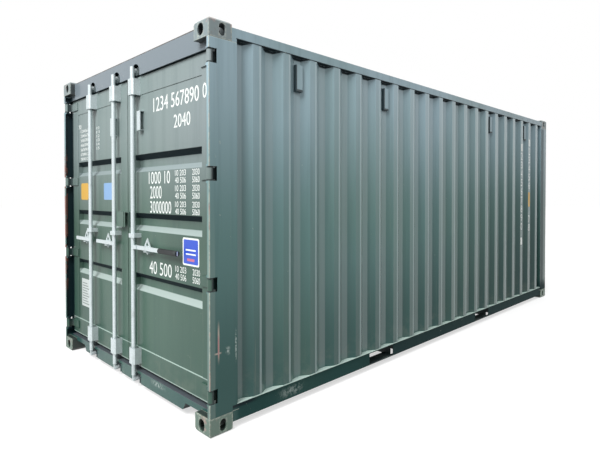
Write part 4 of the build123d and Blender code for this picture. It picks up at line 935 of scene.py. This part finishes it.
def guide_rivets(tree):
    """Rivets at the corners of every rod bracket and of the pale plate."""
    size = {"Radius": RIVET_RADIUS, "Height": RIVET_RISE, "Material": MATERIALS["galvanised_steel"]}
    left, right, low, high = PLATE_BOX
    for body, places in RODS.items():
        points = []
        for y in places:
            for height, reach in GUIDE_RIVETS:
                ways = (-1, 1) if reach else (1,)
                points += [(GUIDE_FACE, y + across, height + way * reach)
                           for across in (-RIVET_ACROSS, RIVET_ACROSS) for way in ways]
        if body == "door_left":
            points += [(PANEL_FACE - PLATE_THICK, y, z) for y in (-left - PLATE_CORNER, -right + PLATE_CORNER)
                       for z in (low + PLATE_CORNER, high - PLATE_CORNER)]
        grow(body + "_rivets", tree, points, [], size, body)


def wave_points(side, height):
    """The line where a corrugated wall meets a rail, just outside the sheet."""
    outer, inner = side * BEAD_OUTER, side * BEAD_INNER
    points = [(WALL_START, inner, height)]
    at = WALL_START
    flat = WAVE_PITCH - WAVE_INNER - 2 * WAVE_SLOPE
    for _ in range(WAVES):
        for step, y in ((WAVE_INNER, inner), (WAVE_SLOPE, outer), (flat, outer), (WAVE_SLOPE, inner)):
            at += step
            points.append((at, y, height))
    points.append((at + WAVE_INNER, inner, height))
    return points


def weld_beads(tree):
    """Beads along the walls' edges, and beside the top castings on the header."""
    lines = []
    for side in (-1, 1):
        lines.append(wave_points(side, WALL_BOTTOM + BEAD_LIFT))
        lines.append(wave_points(side, WALL_TOP - BEAD_LIFT))
        inner = side * BEAD_INNER
        for x in (WALL_START + BEAD_LIFT, -WALL_START - BEAD_LIFT):
            lines.append([(x, inner, WALL_BOTTOM + BEAD_INSET), (x, inner, WALL_TOP - BEAD_INSET)])
        y = side * (SIDE - CASTING_WIDTH)
        lines.append([(HEADER_FACE, y, HEIGHT - CASTING_HEIGHT), (HEADER_FACE, y, HEADER_TOP - 0.002)])
    points, edges = [], []
    for line in lines:
        start = len(points)
        points += line
        edges += [(start + index, start + index + 1) for index in range(len(line) - 1)]
    values = {"Radius": BEAD_RADIUS, "Step": BEAD_STEP, "Seed": BEAD_SEED,
              "Material": MATERIALS["body_paint"]}
    grow("wall_weld_beads", tree, points, edges, values, "container")


def make_floor():
    """A plain pale floor with a faint shadow, whose bounce leaves undersides dark."""
    half = 60.0
    corners = [(-half, -half, 0), (half, -half, 0), (half, half, 0), (-half, half, 0)]
    floor = put("studio_floor", plain_mesh("studio_floor", corners, [(0, 1, 2, 3)]))
    look = Recipe("studio_floor", roughness=0.95)
    seen = look.add("ShaderNodeLightPath", {}, {}, "Is Camera Ray")
    for other in ("Is Glossy Ray", "Is Transmission Ray"):
        seen = seen + look.add("ShaderNodeLightPath", {}, {}, other)
    look.colour(look.blend(seen.clamped(), FLOOR_BOUNCE, FLOOR_SEEN))
    glow = look.blend(seen.clamped(), (0.0, 0.0, 0.0, 1.0), FLOOR_GLOW)
    look.fill(look.shader.inputs["Emission Color"], glow)
    look.shader.inputs["Emission Strength"].default_value = 1.0
    look.shader.inputs["Specular IOR Level"].default_value = 0.0
    floor.data.materials.append(look.material)


def make_world():
    """Even studio light from all round."""
    world = bpy.data.worlds.new("studio")
    world.use_nodes = True
    world.node_tree.nodes["Background"].inputs["Color"].default_value = (1, 1, 1, 1)
    world.node_tree.nodes["Background"].inputs["Strength"].default_value = 1.0
    bpy.context.scene.world = world


def make_lamp(name, place, aim, size, power):
    """One large soft lamp."""
    data = bpy.data.lights.new(name, "AREA")
    data.shape = "DISK"
    data.size = size
    data.energy = power
    lamp = put(name, data)
    lamp.location = place
    lamp.rotation_euler = (Vector(aim) - Vector(place)).to_track_quat("-Z", "Y").to_euler()


def make_camera():
    """The camera at the photograph's viewing angle."""
    data = bpy.data.cameras.new("camera")
    data.sensor_width = 36.0
    data.lens = CAMERA_LENS
    data.shift_x, data.shift_y = CAMERA_SHIFT
    data.clip_end = 200.0
    camera = put("camera", data)
    camera.location = CAMERA_PLACE
    camera.rotation_euler = Euler([math.radians(turn) for turn in CAMERA_TURN], "XYZ")
    bpy.context.scene.camera = camera


bpy.context.scene.view_settings.view_transform = "Standard"
make_camera()
make_world()
make_floor()
make_lamp("key_lamp", place=(-10.0, -2.5, 9.0), aim=(-1.5, 0, 1.3), size=6.0, power=1500.0)
dress_nodes()
right_door_marks()
left_door_marks()
wall_marks()
pocket_arches()
hinge_washers()
guide_rivets(rivet_tree())
weld_beads(bead_tree())
